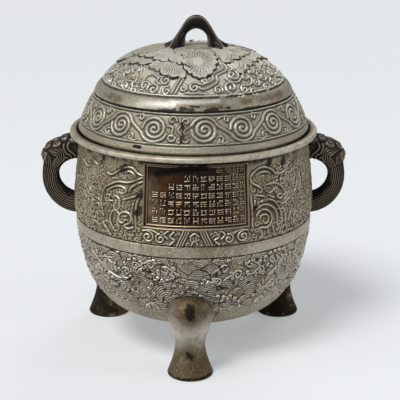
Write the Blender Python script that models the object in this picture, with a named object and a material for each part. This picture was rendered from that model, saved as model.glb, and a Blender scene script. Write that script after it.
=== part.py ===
"""Bronze tripod incense burner with a domed lid, modelled at its real size in metres.

The bowl, its rim, two beast handles and three legs are one casting. The lid, with its arched
branch grip, is the other. +Z is up, the feet stand on z = 0, and the inscribed panel faces -Y.
"""

import math

import bmesh
import bpy
import numpy as np
from mathutils import Matrix, Vector

# Bowl: heights above the ground, radii from the axis
UNDERSIDE_HEIGHT = 0.0350
BASE_RADIUS = 0.0550
BELLY_RADIUS = 0.1180
BAND_HEIGHT = 0.1225
BAND_WIDTH = 0.0107
BAND_RAISE = 0.0010
WALL_SWELL = 0.0047
NECK_INSET = 0.0028
NECK_FILLET = 0.0020
LIP_HEIGHT = 0.2205
LIP_OVERHANG = 0.0080
LIP_BEAD = 0.0030
BOWL_WALL = 0.0050

# Rim seat that the lid rests on
SEAT_DEPTH = 0.0030
SEAT_CLEARANCE = 0.0021
SEAT_GAP = 0.0003
SEAT_WIDTH = 0.0066
MOUTH_LIP = 0.0045

# Lid
LIP_BORDER = 0.0088
LID_UNDERCUT = 0.0030
LID_EDGE_RISE = 0.0047
LID_HEIGHT = 0.0830
LID_WALL = 0.0040
CROWN_RADIUS = 0.0200
CROWN_RISE = 0.0006
TONGUE_CLEARANCE = 0.0010
TONGUE_DROP = 0.0070
PLAIN_EDGE = 0.0075
LID_BAND_LOW = 0.0345
LID_BAND_WIDTH = 0.0172
LID_BAND_RAISE = 0.0017
FILLET_WIDTH = 0.0016

# Running scroll round the lid: a vine that passes over and under its spirals by turns
SCROLL_COUNT = 18
SCROLL_FIRST_ANGLE = math.radians(5.6)
SCROLL_JOIN_ANGLE = math.radians(25.6)
VINE_SWING = 0.0112
VINE_SIDES = 4
SCROLL_EYE = 0.0020
SCROLL_TURNS = 1.25
SCROLL_SIDES = 7
SCROLL_LINE = 0.0026
SCROLL_RAISE = 0.0011

# Pine foliage round the grip: where each pad lies, how far down the dome, and its size
PAD_PLACES = (
    (0.06, 1.10, 1.10),
    (-0.80, 1.30, 1.10),
    (-1.45, 0.85, 0.90),
    (-2.15, 1.25, 1.00),
    (1.80, 0.80, 0.75),
    (2.75, 1.15, 0.95),
)
PAD_RADIUS = 0.0190
PAD_DROP = 0.0250
PAD_RAISE = 0.0011
PAD_LOBES = 5
PAD_LOBE_SIDES = 2
PAD_SCALLOP = 0.14
PAD_FLATTEN = 0.72
PAD_OVERLAP = 1.3

# Grip: an arched branch on the crown, a little to the right of the axis
GRIP_SHIFT = 0.0028
GRIP_HEIGHT = 0.0305
GRIP_HOLE_WIDTH = 0.0217
GRIP_HOLE_HEIGHT = 0.0172
GRIP_SPREAD = 0.0300
GRIP_SHOULDER = 0.0120
GRIP_DEPTH = 0.0115
GRIP_FOOT_DEPTH = 0.0190
GRIP_ROUNDING = 1.08
GRIP_SIDES = 8
ROOT_LENGTH = 0.0170
ROOT_RADIUS = 0.0031
ROOT_INSET = 0.0060
ROOT_RISE = 0.0055
ROOT_SPREAD = 0.0030
ROOT_TURNS = (-1.0, 0.0, 1.0)
ROOT_SLOPE = -0.40
ROOT_TAPER = ((0, 1.25), (0.5, 1.0), (1.0, 0.55))
ROOT_SIDES = 6

# Legs
LEG_COUNT = 3
FRONT_LEG_TURN = math.radians(-1.7)
FOOT_INSET = 0.0124
KNEE_INSET = 0.0145
FOOT_RADIUS = 0.0230
SOLE_EDGE = 0.0020
ANKLE_RADIUS = 0.0146
ANKLE_HEIGHT = 0.0290
KNEE_RADIUS = 0.0222
KNEE_HEIGHT = 0.0640
LEG_HEIGHT = 0.0820

# Handles: a bar bent into a half ellipse, thick at the head, slimmer at the back
HANDLE_DROP = 0.0215
HANDLE_SPAN = 0.0580
HANDLE_REACH = 0.0290
HANDLE_HEAD = 0.0215
HANDLE_THICKNESS = 0.0165
HANDLE_TAIL = 0.0190
HANDLE_BREADTH = 0.0270
FLUTE_DEPTH = 0.0010
FLUTE_START = math.radians(40)
FLUTE_FADE = 0.3
KNOB_RADIUS = 0.0048
KNOB_ANGLES = (80, 60, 42, 25)
KNOB_SINK = 0.20
KNOB_ROW = 0.26

# Inscribed panel on the front of the bowl
PANEL_TURN = math.radians(1.1)
PANEL_WIDTH = 0.1010
PANEL_SILL = 0.0173
PANEL_DROP = 0.0087
FRAME_WIDTH = 0.0034
FRAME_RAISE = 0.0014

# Beast scrolls beside the panel, as shares of their spread and of the wall's length
BEAST_SPREAD = 0.1010
BEAST_BROW = ((0.53, 0.80), (0.61, 0.885), (0.70, 0.88), (0.79, 0.80), (0.87, 0.765), (0.95, 0.815))
BEAST_NECK = ((1.00, 0.25), (0.98, 0.45), (0.92, 0.59), (0.82, 0.68), (0.71, 0.70))
BEAST_CURL = (0.655, 0.283)
BEAST_CURL_RADIUS = 0.0085
BEAST_CURL_STEPS = 8
BEAST_CURL_START = math.radians(-150)
BEAST_CURL_STEP = math.radians(48)
BEAST_CURL_TIGHTEN = 0.09
BEAST_LINE = 0.0034
BEAST_RAISE = 0.0012

# How finely round shapes are cut into flats
ROUND_STEPS = 40
LEG_STEPS = 11
FLUTE_STEPS = 16
SINK = 0.0012
OVERSHOOT = 0.0040
SLOPE_SHARE = 0.01

# Sizes that follow from the ones above
NECK_RADIUS = BELLY_RADIUS - NECK_INSET
LIP_RADIUS = NECK_RADIUS + LIP_OVERHANG
LID_RADIUS = LIP_RADIUS - LIP_BORDER
MOUTH_RADIUS = LID_RADIUS - SEAT_WIDTH
LEG_CIRCLE = BELLY_RADIUS - FOOT_INSET
KNEE_CIRCLE = BELLY_RADIUS - KNEE_INSET
HANDLE_TOP = LIP_HEIGHT - HANDLE_DROP
PANEL_LOW = BAND_HEIGHT + BAND_WIDTH + PANEL_SILL
PANEL_HIGH = LIP_HEIGHT - PANEL_DROP
SEAT_HEIGHT = LIP_HEIGHT - SEAT_DEPTH
LID_BASE = SEAT_HEIGHT + SEAT_GAP
UP = Vector((0, 0, 1))


def clear_scene():
    for thing in list(bpy.data.objects):
        bpy.data.objects.remove(thing)


def bronze(name, colour, roughness):
    """A metal with the given base colour."""
    material = bpy.data.materials.new(name)
    material.use_nodes = True
    shader = material.node_tree.nodes["Principled BSDF"]
    shader.inputs["Base Color"].default_value = (*colour, 1)
    shader.inputs["Roughness"].default_value = roughness
    shader.inputs["Metallic"].default_value = 0.85
    return material


# Profiles, as arrays of (radius, height)


def bezier(points, count):
    """Points on a cubic Bezier curve, both ends included."""
    corners = np.array(points, float)
    t = np.linspace(0, 1, count)[:, None]
    weights = ((1 - t) ** 3, 3 * (1 - t) ** 2 * t, 3 * (1 - t) * t**2, t**3)
    return sum(w * corner for w, corner in zip(weights, corners))


def arc(centre, radius, start, end, count):
    """Points on an arc, from one angle to another in degrees."""
    angles = np.radians(np.linspace(start, end, count))
    return np.array(centre) + radius * np.stack([np.cos(angles), np.sin(angles)], axis=1)


def offset(profile, distance):
    """The profile moved towards its inner side by the distance."""
    tangent = np.gradient(profile, axis=0)
    tangent /= np.linalg.norm(tangent, axis=1)[:, None]
    return profile - distance * np.stack([tangent[:, 1], -tangent[:, 0]], axis=1)


def belly_curve(count):
    """The lower half of the bowl, from its base up to the plain band."""
    depth = BAND_HEIGHT - UNDERSIDE_HEIGHT
    return bezier(
        [
            (BASE_RADIUS, UNDERSIDE_HEIGHT),
            (BELLY_RADIUS - 0.12 * depth, UNDERSIDE_HEIGHT),
            (BELLY_RADIUS - 0.06 * depth, BAND_HEIGHT - 0.34 * depth),
            (BELLY_RADIUS, BAND_HEIGHT),
        ],
        count,
    )


def wall_curve(count):
    """The upper wall of the bowl, from the plain band up to the neck."""
    low = BAND_HEIGHT + BAND_WIDTH
    neck = LIP_HEIGHT - 2 * LIP_BEAD - NECK_FILLET
    rise = neck - low
    return bezier(
        [
            (BELLY_RADIUS, low),
            (BELLY_RADIUS + WALL_SWELL, low + 0.26 * rise),
            (NECK_RADIUS, low + 0.58 * rise),
            (NECK_RADIUS, neck),
        ],
        count,
    )


def bowl_outline():
    """The bowl without its hollow, from the axis below to the axis at the lip."""
    band = BELLY_RADIUS + BAND_RAISE
    bead = (LIP_RADIUS - LIP_BEAD, LIP_HEIGHT - LIP_BEAD)
    return np.concatenate(
        [
            [(0, UNDERSIDE_HEIGHT)],
            belly_curve(7),
            [(band, BAND_HEIGHT), (band, BAND_HEIGHT + BAND_WIDTH)],
            wall_curve(5),
            arc(bead, LIP_BEAD, -90, 90, 4),
            [(0, LIP_HEIGHT)],
        ]
    )


def bowl_hollow():
    """What is cut from the bowl: its inside, its mouth and the seat for the lid."""
    belly = offset(belly_curve(5), BOWL_WALL)
    wall = offset(wall_curve(3), BOWL_WALL)[1:]
    seat_radius = LID_RADIUS + SEAT_CLEARANCE
    wall[-1] = (NECK_RADIUS - BOWL_WALL, SEAT_HEIGHT - 2 * MOUTH_LIP)
    return np.concatenate(
        [
            [(0, UNDERSIDE_HEIGHT + BOWL_WALL)],
            belly,
            wall,
            [
                (MOUTH_RADIUS, SEAT_HEIGHT - MOUTH_LIP),
                (MOUTH_RADIUS, SEAT_HEIGHT),
                (seat_radius, SEAT_HEIGHT),
                (seat_radius, LIP_HEIGHT + OVERSHOOT),
                (0, LIP_HEIGHT + OVERSHOOT),
            ],
        ]
    )


def dome_curve(count):
    """The lid's outer surface, from its edge up to its crown."""
    edge = LID_BASE + LID_EDGE_RISE
    crown = LID_BASE + LID_HEIGHT
    rise = crown - edge
    return bezier(
        [
            (LID_RADIUS, edge),
            (0.80 * LID_RADIUS, edge + 0.68 * rise),
            (0.66 * LID_RADIUS, edge + 0.94 * rise),
            (CROWN_RADIUS, crown),
        ],
        count,
    )


def lid_band(s):
    """How far the lid's plain band stands out at a distance along the dome."""
    share = (s - LID_BAND_LOW) / LID_BAND_WIDTH
    inside = (share > 0) & (share < 1)
    bulge = np.sin(np.pi * np.clip(share, 0, 1)) ** 0.5
    return np.where(inside, LID_BAND_RAISE * bulge, 0.0)


class Skin:
    """A turned surface that carving lies on: an angle round the axis, and a distance along it."""

    def __init__(self, curve):
        steps = np.linalg.norm(np.diff(curve, axis=0), axis=1)
        self.curve = curve
        self.along = np.concatenate([[0], np.cumsum(steps)])

    def radius(self, s):
        return float(np.interp(s, self.along, self.curve[:, 0]))

    def height(self, s):
        return float(np.interp(s, self.along, self.curve[:, 1]))

    def distance_at(self, height):
        return float(np.interp(height, self.curve[:, 1], self.along))

    def normal(self, angle, s):
        step = self.along[-1] * SLOPE_SHARE
        low = min(max(s - step, 0), self.along[-1] - 2 * step)
        high = low + 2 * step
        rise = self.height(high) - self.height(low)
        run = self.radius(high) - self.radius(low)
        length = math.hypot(rise, run)
        out = rise / length
        return Vector((math.sin(angle) * out, -math.cos(angle) * out, -run / length))

    def at(self, angle, s, lift=0.0):
        r = self.radius(s)
        point = Vector((math.sin(angle) * r, -math.cos(angle) * r, self.height(s)))
        return point + self.normal(angle, s) * lift


DOME = Skin(dome_curve(200))
WALL = Skin(wall_curve(200))


# Making meshes


def mesh_object(name, mesh_data, material):
    """A new object from a bmesh, with its faces turned outwards."""
    bmesh.ops.recalc_face_normals(mesh_data, faces=mesh_data.faces)
    mesh = bpy.data.meshes.new(name)
    mesh_data.to_mesh(mesh)
    mesh_data.free()
    mesh.materials.append(material)
    mesh.shade_smooth()
    mesh.set_sharp_from_angle(angle=math.radians(32))
    thing = bpy.data.objects.new(name, mesh)
    bpy.context.scene.collection.objects.link(thing)
    return thing


def turned(name, outline, steps, material):
    """A solid turned about the axis from an outline that starts and ends on it."""
    data = bmesh.new()
    points = [data.verts.new((0, -r, z)) for r, z in outline]
    edges = [data.edges.new(pair) for pair in zip(points[:-1], points[1:])]
    bmesh.ops.spin(
        data,
        geom=points + edges,
        cent=(0, 0, 0),
        axis=(0, 0, 1),
        angle=math.tau,
        steps=steps,
        use_merge=True,
    )
    bmesh.ops.remove_doubles(data, verts=data.verts, dist=0.00002)
    return mesh_object(name, data, material)


def skinned(name, rings, material, closed=False):
    """A solid through rings of points, with flat ends unless it closes on itself."""
    data = bmesh.new()
    loops = [[data.verts.new(point) for point in ring] for ring in rings]
    pairs = list(zip(loops, loops[1:] + loops[:1]))
    for one, other in pairs if closed else pairs[:-1]:
        for i in range(len(one)):
            j = (i + 1) % len(one)
            data.faces.new((one[i], one[j], other[j], other[i]))
    if not closed:
        data.faces.new(loops[0])
        data.faces.new(loops[-1])
    return mesh_object(name, data, material)


def ribbon(name, skin, path, width, raise_by, material, closed=False):
    """A raised ridge on a turned surface. The path holds (angle, distance) pairs."""
    points = [skin.at(angle, s) for angle, s in path]
    last = len(points) - 1
    rings = []
    for i, (angle, s) in enumerate(path):
        before = points[i - 1] if i or closed else points[i]
        after = points[0 if i == last else i + 1] if i < last or closed else points[i]
        normal = skin.normal(angle, s)
        side = normal.cross(after - before).normalized() * width / 2
        low = points[i] - normal * SINK
        rings.append([low - side, points[i] + normal * raise_by, low + side])
    return skinned(name, rings, material, closed)


def plate(name, skin, rim, centre, raise_by, material):
    """A raised flat patch on a turned surface, fanned from its centre to its rim."""
    data = bmesh.new()
    inner = [(0.5 * (a + centre[0]), 0.5 * (s + centre[1])) for a, s in rim]
    levels = []
    for pairs, lift in ((rim, -SINK), (rim, raise_by), (inner, raise_by)):
        levels.append([data.verts.new(skin.at(a, s, lift)) for a, s in pairs])
    bottom = data.verts.new(skin.at(*centre, -2 * SINK))
    top = data.verts.new(skin.at(*centre, raise_by))
    count = len(rim)
    for i in range(count):
        j = (i + 1) % count
        for one, other in zip(levels[:-1], levels[1:]):
            data.faces.new((one[i], one[j], other[j], other[i]))
        data.faces.new((bottom, levels[0][j], levels[0][i]))
        data.faces.new((top, levels[-1][i], levels[-1][j]))
    return mesh_object(name, data, material)


def knob(name, centre, radius, material):
    data = bmesh.new()
    matrix = Matrix.Translation(centre)
    bmesh.ops.create_uvsphere(data, u_segments=6, v_segments=3, radius=radius, matrix=matrix)
    return mesh_object(name, data, material)


def helper(thing):
    """Marks a shape that only cuts or joins another."""
    thing.hide_render = True
    thing.display_type = "WIRE"
    return thing


def combine(base, additions, hollow):
    """Joins the additions to the base, then cuts the hollow."""
    group = bpy.data.collections.new(base.name + "_additions")
    bpy.context.scene.collection.children.link(group)
    for thing in additions:
        bpy.context.scene.collection.objects.unlink(thing)
        group.objects.link(helper(thing))
    join = base.modifiers.new("join", "BOOLEAN")
    join.operation = "UNION"
    join.operand_type = "COLLECTION"
    join.collection = group
    cut = base.modifiers.new("cut", "BOOLEAN")
    cut.operation = "DIFFERENCE"
    cut.object = helper(hollow)
    return base


# Legs, handles and panel of the bowl


def leg_profile():
    """Radius and height of a leg: a flared foot, a narrow ankle, a round knee and its cap."""
    profile = [(FOOT_RADIUS - SOLE_EDGE, 0.0)]
    for share in (SOLE_EDGE / ANKLE_HEIGHT, 0.35, 0.7):
        flare = (FOOT_RADIUS - ANKLE_RADIUS) * (1 - share) ** 1.5
        profile.append((ANKLE_RADIUS + flare, share * ANKLE_HEIGHT))
    for share in (0.0, 0.33, 0.67, 1.0):
        swell = (KNEE_RADIUS - ANKLE_RADIUS) * math.sin(share * math.pi / 2) ** 2
        height = ANKLE_HEIGHT + share * (KNEE_HEIGHT - ANKLE_HEIGHT)
        profile.append((ANKLE_RADIUS + swell, height))
    for turn in (0.55, 1.0, 1.35):
        height = KNEE_HEIGHT + (LEG_HEIGHT - KNEE_HEIGHT) * math.sin(turn)
        profile.append((KNEE_RADIUS * math.cos(turn), height))
    return profile


def leg(index, material):
    """A leg whose knee grows out of the belly and whose foot stands a little further out."""
    angle = math.tau * index / LEG_COUNT + (0 if index else FRONT_LEG_TURN)
    out = Vector((math.sin(angle), -math.cos(angle), 0))
    across = UP.cross(out)
    rings = []
    for radius, height in leg_profile():
        rise = min(1, height / KNEE_HEIGHT)
        centre = out * (LEG_CIRCLE + (KNEE_CIRCLE - LEG_CIRCLE) * rise) + UP * height
        ring = []
        for step in range(LEG_STEPS):
            turn = math.tau * (step + 0.5) / LEG_STEPS
            ring.append(centre + radius * (math.cos(turn) * across + math.sin(turn) * out))
        rings.append(ring)
    return skinned(f"leg_{index}", rings, material)


def handle_point(turn):
    """Centre of the handle and its outward direction, in its own plane, at a turn in radians."""
    middle = HANDLE_TOP - HANDLE_SPAN / 2
    reach = NECK_RADIUS + HANDLE_REACH * math.cos(turn)
    centre = Vector((reach, 0, middle + HANDLE_SPAN / 2 * math.sin(turn)))
    outward = Vector((math.cos(turn) / HANDLE_REACH, 0, math.sin(turn) / (HANDLE_SPAN / 2)))
    return centre, outward.normalized()


def handle_thickness(turn):
    """How thick the bar is: the head above, the tail below, slimmer between them."""
    end = HANDLE_HEAD if turn > 0 else HANDLE_TAIL
    return HANDLE_THICKNESS + (end - HANDLE_THICKNESS) * math.sin(turn) ** 2


def handle_section(turn, side):
    """One ring round the handle: a rounded bar, fluted lengthwise below the head."""
    centre, outward = handle_point(turn)
    fluted = FLUTE_DEPTH * min(1, max(0, (FLUTE_START - turn) / FLUTE_FADE))
    ring = []
    for step in range(FLUTE_STEPS):
        around = math.tau * step / FLUTE_STEPS
        c, s = math.cos(around), math.sin(around)
        square = (abs(c) ** 3 + abs(s) ** 3) ** (-1 / 3)
        groove = fluted if step % 2 else 0.0
        across = (HANDLE_BREADTH / 2 * square - groove) * c
        deep = (handle_thickness(turn) / 2 * square - groove) * s
        point = centre + outward * deep
        ring.append(Vector((side * point.x, side * across, point.z)))
    return ring


def handle(side, material):
    """A beast's neck bent into a C, with mane curls over the head at its top."""
    name = "handle_right" if side > 0 else "handle_left"
    turns = np.radians(np.linspace(90, -90, 10))
    parts = [skinned(name, [handle_section(turn, side) for turn in turns], material)]
    for row in (-1, 1):
        for index, degrees in enumerate(KNOB_ANGLES):
            turn = math.radians(degrees)
            centre, outward = handle_point(turn)
            centre += outward * (handle_thickness(turn) / 2 - KNOB_SINK * KNOB_RADIUS)
            place = (side * centre.x, row * KNOB_ROW * HANDLE_BREADTH, centre.z)
            parts.append(knob(f"{name}_knob_{row}_{index}", place, KNOB_RADIUS, material))
    return parts


def panel_frame(material):
    """The raised border of the inscribed panel, bent round the wall."""
    inset = FRAME_WIDTH / 2
    low = WALL.distance_at(PANEL_LOW) + inset
    high = WALL.distance_at(PANEL_HIGH) - inset
    half = (PANEL_WIDTH / 2 - inset) / BELLY_RADIUS
    angles = PANEL_TURN + np.linspace(-half, half, 9)
    levels = np.linspace(low, high, 4)
    path = [(a, low) for a in angles]
    path += [(angles[-1], s) for s in levels[1:-1]]
    path += [(a, high) for a in angles[::-1]]
    path += [(angles[0], s) for s in levels[-2:0:-1]]
    return ribbon("panel_frame", WALL, path, FRAME_WIDTH, FRAME_RAISE, material, closed=True)


def beast_scrolls(material):
    """On each side of the panel a brow, a bent neck and a curl, and the same again at the back."""
    brow = [(x * BEAST_SPREAD, s * WALL.along[-1]) for x, s in BEAST_BROW]
    neck = [(x * BEAST_SPREAD, s * WALL.along[-1]) for x, s in BEAST_NECK]
    curl = []
    for step in range(BEAST_CURL_STEPS):
        turn = BEAST_CURL_START + BEAST_CURL_STEP * step
        reach = BEAST_CURL_RADIUS * (1 - BEAST_CURL_TIGHTEN * step)
        across = BEAST_CURL[0] * BEAST_SPREAD + reach * math.cos(turn)
        curl.append((across, BEAST_CURL[1] * WALL.along[-1] + reach * math.sin(turn)))
    made = []
    for facing in (0, math.pi):
        for mirror in (-1, 1):
            for shape in (brow, neck, curl):
                path = [(facing + PANEL_TURN + mirror * x / BELLY_RADIUS, s) for x, s in shape]
                name = f"beast_scroll_{len(made)}"
                made.append(ribbon(name, WALL, path, BEAST_LINE, BEAST_RAISE, material))
    return made


# Carving and grip of the lid


def scroll_angles():
    """The middle of each spiral: evenly spaced, with one wider gap where the pattern closes."""
    spacing = (math.tau - SCROLL_JOIN_ANGLE) / (SCROLL_COUNT - 1)
    return [SCROLL_FIRST_ANGLE + spacing * i for i in range(SCROLL_COUNT)]


def lid_scroll(index, angle, material):
    """One spiral, from its eye out to where it leaves the vine, above it or below it by turns."""
    up = -1 if index % 2 else 1
    middle = 0.5 * (PLAIN_EDGE + LID_BAND_LOW)
    radius_here = DOME.radius(middle)
    steps = round(SCROLL_TURNS * SCROLL_SIDES)
    path = []
    for step in range(steps + 1):
        share = step / steps
        turn = math.tau * SCROLL_TURNS * share
        reach = SCROLL_EYE + (VINE_SWING - SCROLL_EYE) * share
        across = reach * math.cos(turn)
        path.append((angle + across / radius_here, middle + up * reach * math.sin(turn)))
    return ribbon(f"scroll_{index}", DOME, path, SCROLL_LINE, SCROLL_RAISE, material)


def vine(material):
    """The wave that carries the spirals, over the first, under the next and so on round the lid."""
    middle = 0.5 * (PLAIN_EDGE + LID_BAND_LOW)
    centres = scroll_angles() + [SCROLL_FIRST_ANGLE + math.tau]
    path = []
    for index, (one, other) in enumerate(zip(centres[:-1], centres[1:])):
        for step in range(VINE_SIDES):
            share = step / VINE_SIDES
            swing = VINE_SWING * math.cos(math.pi * (index + share))
            path.append((one + (other - one) * share, middle + swing))
    return ribbon("vine", DOME, path, SCROLL_LINE, SCROLL_RAISE, material, closed=True)


def foliage(material):
    """Scalloped pads of pine needles that spread from the branch over the crown."""
    made = []
    for index, (angle, drop, size) in enumerate(PAD_PLACES):
        s = DOME.along[-1] - PAD_DROP * drop
        radius_here = DOME.radius(s)
        steps = PAD_LOBE_SIDES * PAD_LOBES
        rim = []
        for step in range(steps):
            turn = math.tau * step / steps
            lobe = 1 - PAD_SCALLOP * (1 - abs(math.sin(turn * PAD_LOBES / 2)))
            scallop = size * PAD_RADIUS * lobe
            across = scallop * math.cos(turn)
            rim.append((angle + across / radius_here, s + PAD_FLATTEN * scallop * math.sin(turn)))
        lift = PAD_RAISE * (PAD_OVERLAP if index % 2 else 1.0)
        made.append(plate(f"foliage_{index}", DOME, rim, (angle, s), lift, material))
    return made


def grip_outer(share):
    """Half of the grip's outer outline, from the top to a foot, as (x, height above the crown)."""
    corners = [(0, GRIP_HEIGHT), (GRIP_SHOULDER, GRIP_HEIGHT), (GRIP_SHOULDER, GRIP_HEIGHT / 3)]
    corners += [(GRIP_SPREAD, 0)]
    return bezier(corners, 33)[round(32 * share)]


def grip(material):
    """The arched branch: a bar bent over the finger hole, with roots that hold the crown."""
    base = LID_BASE + LID_HEIGHT
    half_hole = GRIP_HOLE_WIDTH / 2
    spring = GRIP_HOLE_HEIGHT - half_hole
    rings = []
    for share in np.linspace(-1, 1, 11):
        side = math.copysign(1, share)
        turn = abs(share) * math.pi / 2
        inner = Vector((side * half_hole * math.sin(turn), 0, spring + half_hole * math.cos(turn)))
        x, z = grip_outer(abs(share))
        if abs(share) == 1:
            inner.z = -SINK
            z = -2 * SINK
        outer = Vector((side * x, 0, z))
        middle, reach = (inner + outer) / 2, (outer - inner) / 2
        depth = GRIP_DEPTH + (GRIP_FOOT_DEPTH - GRIP_DEPTH) * abs(share) ** 3
        ring = []
        for step in range(GRIP_SIDES):
            around = math.tau * (step + 0.5) / GRIP_SIDES
            sideways = Vector((GRIP_SHIFT, GRIP_ROUNDING * depth / 2 * math.sin(around), base))
            ring.append(middle + reach * (GRIP_ROUNDING * math.cos(around)) + sideways)
        rings.append(ring)
    parts = [skinned("grip_arch", rings, material)]
    for side in (-1, 1):
        for index, turn in enumerate(ROOT_TURNS):
            way = Vector((side * math.cos(turn), math.sin(turn), ROOT_SLOPE))
            start_x = GRIP_SHIFT + side * (half_hole + ROOT_INSET)
            start = Vector((start_x, ROOT_SPREAD * turn, base + ROOT_RISE))
            across = UP.cross(way).normalized()
            above = way.cross(across).normalized()
            root = []
            for share, size in ROOT_TAPER:
                ring = []
                for step in range(ROOT_SIDES):
                    a = math.tau * step / ROOT_SIDES
                    spoke = math.cos(a) * across + math.sin(a) * above
                    ring.append(start + way * (ROOT_LENGTH * share) + spoke * (ROOT_RADIUS * size))
                root.append(ring)
            parts.append(skinned(f"root_{side}_{index}", root, material))
    return parts


def lid_outline():
    """The lid without its hollow: tongue, foot, undercut edge, plain edge, scroll band, band and dome."""
    tongue = MOUTH_RADIUS - TONGUE_CLEARANCE
    s = np.array([0, PLAIN_EDGE, LID_BAND_LOW - FILLET_WIDTH, LID_BAND_LOW])
    band = LID_BAND_LOW + LID_BAND_WIDTH * np.array([0.08, 0.5, 0.92])
    top = LID_BAND_LOW + LID_BAND_WIDTH
    dome = np.linspace(top, DOME.along[-1], 5)
    points = []
    for distance in np.concatenate([s, band, dome]):
        lift = float(lid_band(np.array(distance)))
        place = DOME.at(0, distance, lift)
        points.append((-place.y, place.z))
    return np.concatenate(
        [
            [(0, SEAT_HEIGHT - TONGUE_DROP), (tongue, SEAT_HEIGHT - TONGUE_DROP)],
            [(tongue, LID_BASE), (LID_RADIUS - LID_UNDERCUT, LID_BASE)],
            points,
            [(0, LID_BASE + LID_HEIGHT + CROWN_RISE)],
        ]
    )


def lid_hollow():
    """What is cut from the lid: its inside, narrowing to the tongue."""
    inner = offset(dome_curve(5), LID_WALL)
    tongue = MOUTH_RADIUS - TONGUE_CLEARANCE - LID_WALL
    return np.concatenate(
        [
            [(0, SEAT_HEIGHT - TONGUE_DROP - OVERSHOOT), (tongue, SEAT_HEIGHT - TONGUE_DROP - OVERSHOOT)],
            [(tongue, LID_BASE + LID_WALL)],
            inner[1:],
            [(0, LID_BASE + LID_HEIGHT - LID_WALL)],
        ]
    )


def build():
    clear_scene()
    grey_bronze = bronze("grey_green_bronze", (0.21, 0.19, 0.145), 0.5)
    brown_bronze = bronze("dark_brown_bronze", (0.11, 0.085, 0.06), 0.45)

    bowl = turned("bowl", bowl_outline(), ROUND_STEPS, grey_bronze)
    hollow = turned("bowl_hollow", bowl_hollow(), ROUND_STEPS, grey_bronze)
    additions = [leg(index, brown_bronze) for index in range(LEG_COUNT)]
    additions += handle(-1, brown_bronze) + handle(1, brown_bronze)
    additions += [panel_frame(grey_bronze)] + beast_scrolls(grey_bronze)
    combine(bowl, additions, hollow)

    lid = turned("lid", lid_outline(), ROUND_STEPS, grey_bronze)
    hollow = turned("lid_hollow", lid_hollow(), ROUND_STEPS, grey_bronze)
    additions = [lid_scroll(i, a, grey_bronze) for i, a in enumerate(scroll_angles())]
    additions += [vine(grey_bronze)]
    additions += foliage(grey_bronze) + grip(brown_bronze)
    combine(lid, additions, hollow)


build()
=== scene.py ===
# %% [markdown]
# A bronze incense burner: a round bowl on three feet, with two beast handles and a domed lid.
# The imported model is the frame. It stands on z = 0 with its front towards -Y, and every piece below
# is built round it in metres, so that a detail always sits on the solid that carries it.

# %% Load the frame
import math

import bpy
import numpy as np
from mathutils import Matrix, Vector


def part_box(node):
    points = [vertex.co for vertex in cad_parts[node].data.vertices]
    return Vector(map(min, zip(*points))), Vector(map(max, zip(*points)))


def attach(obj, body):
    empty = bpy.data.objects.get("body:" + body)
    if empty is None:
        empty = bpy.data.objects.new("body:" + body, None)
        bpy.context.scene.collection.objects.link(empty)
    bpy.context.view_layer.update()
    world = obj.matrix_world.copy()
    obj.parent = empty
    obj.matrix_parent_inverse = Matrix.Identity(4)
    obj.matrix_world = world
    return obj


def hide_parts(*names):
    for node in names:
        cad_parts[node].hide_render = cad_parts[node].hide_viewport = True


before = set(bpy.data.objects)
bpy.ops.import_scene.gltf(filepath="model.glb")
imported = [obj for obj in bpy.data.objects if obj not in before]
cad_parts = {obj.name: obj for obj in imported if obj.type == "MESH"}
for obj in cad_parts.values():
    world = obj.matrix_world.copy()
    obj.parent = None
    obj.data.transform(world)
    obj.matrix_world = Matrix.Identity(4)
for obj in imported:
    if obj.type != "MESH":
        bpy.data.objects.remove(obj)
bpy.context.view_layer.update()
bowl_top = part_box("bowl")[1][2]

# %% [markdown]
# A cast vessel follows a few sizes: the heights and radii of its profile. They are named once here,
# in metres, and everything else is worked out from them. CORNER is the small rounding of cast edges.
# Ornament is drawn in millimetres, because that is how a founder would measure it on the wax.

# %% Driving sizes
MM = 0.001
UNDERSIDE, LIP_TOP = 0.0350, bowl_top
BASE_R, BELLY_R, NECK_R = 0.0550, 0.1180, 0.1152
BAND_Z, BAND_W, BAND_RAISE = 0.1225, 0.0107, 0.0010
WALL_SWELL, NECK_FILLET = 0.0047, 0.0020
LIP_R, LIP_BEAD = 0.1232, 0.0030
WALL_THICK, LID_THICK = 0.0050, 0.0040
SEAT_DEPTH, SEAT_CLEARANCE, SEAT_GAP = 0.0030, 0.0021, 0.0003
MOUTH_R, MOUTH_LIP = 0.1078, 0.0045
LID_R, LID_UNDERCUT, LID_EDGE_RISE, LID_RISE = 0.1144, 0.0030, 0.0047, 0.0830
CROWN_R, CROWN_RISE = 0.0200, 0.0006
TONGUE_CLEARANCE, TONGUE_DROP = 0.0010, 0.0070
LID_BAND_LOW, LID_BAND_W, LID_BAND_RAISE = 0.0345, 0.0172, 0.0017
CORNER = 0.0004
SEAT_Z = LIP_TOP - SEAT_DEPTH
LID_BASE = SEAT_Z + SEAT_GAP
CROWN_Z = LID_BASE + LID_RISE
print("crown at", round(CROWN_Z / MM, 1), "mm, lip at", round(LIP_TOP / MM, 1), "mm")

# %% [markdown]
# Every profile is a smooth curve held by four corner points, which is how a draughtsman's curve works
# too. The curve is then cut into evenly spaced points, so that the surface has even cells.

# %% Curves in whole arrays
def four_point_curve(corners, count=200):
    """Each point is the corners mixed by (1-t)^3, 3(1-t)^2 t, 3(1-t) t^2 and t^3, t from 0 to 1."""
    t = np.linspace(0, 1, count)[:, None]
    weights = ((1 - t) ** 3, 3 * (1 - t) ** 2 * t, 3 * (1 - t) * t**2, t**3)
    return sum(w * np.asarray(corner, float) for w, corner in zip(weights, corners))


def travelled(line):
    """How far along a line each of its points lies: the running sum of the steps' lengths."""
    return np.concatenate(([0], np.cumsum(np.linalg.norm(np.diff(line, axis=0), axis=1))))


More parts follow.
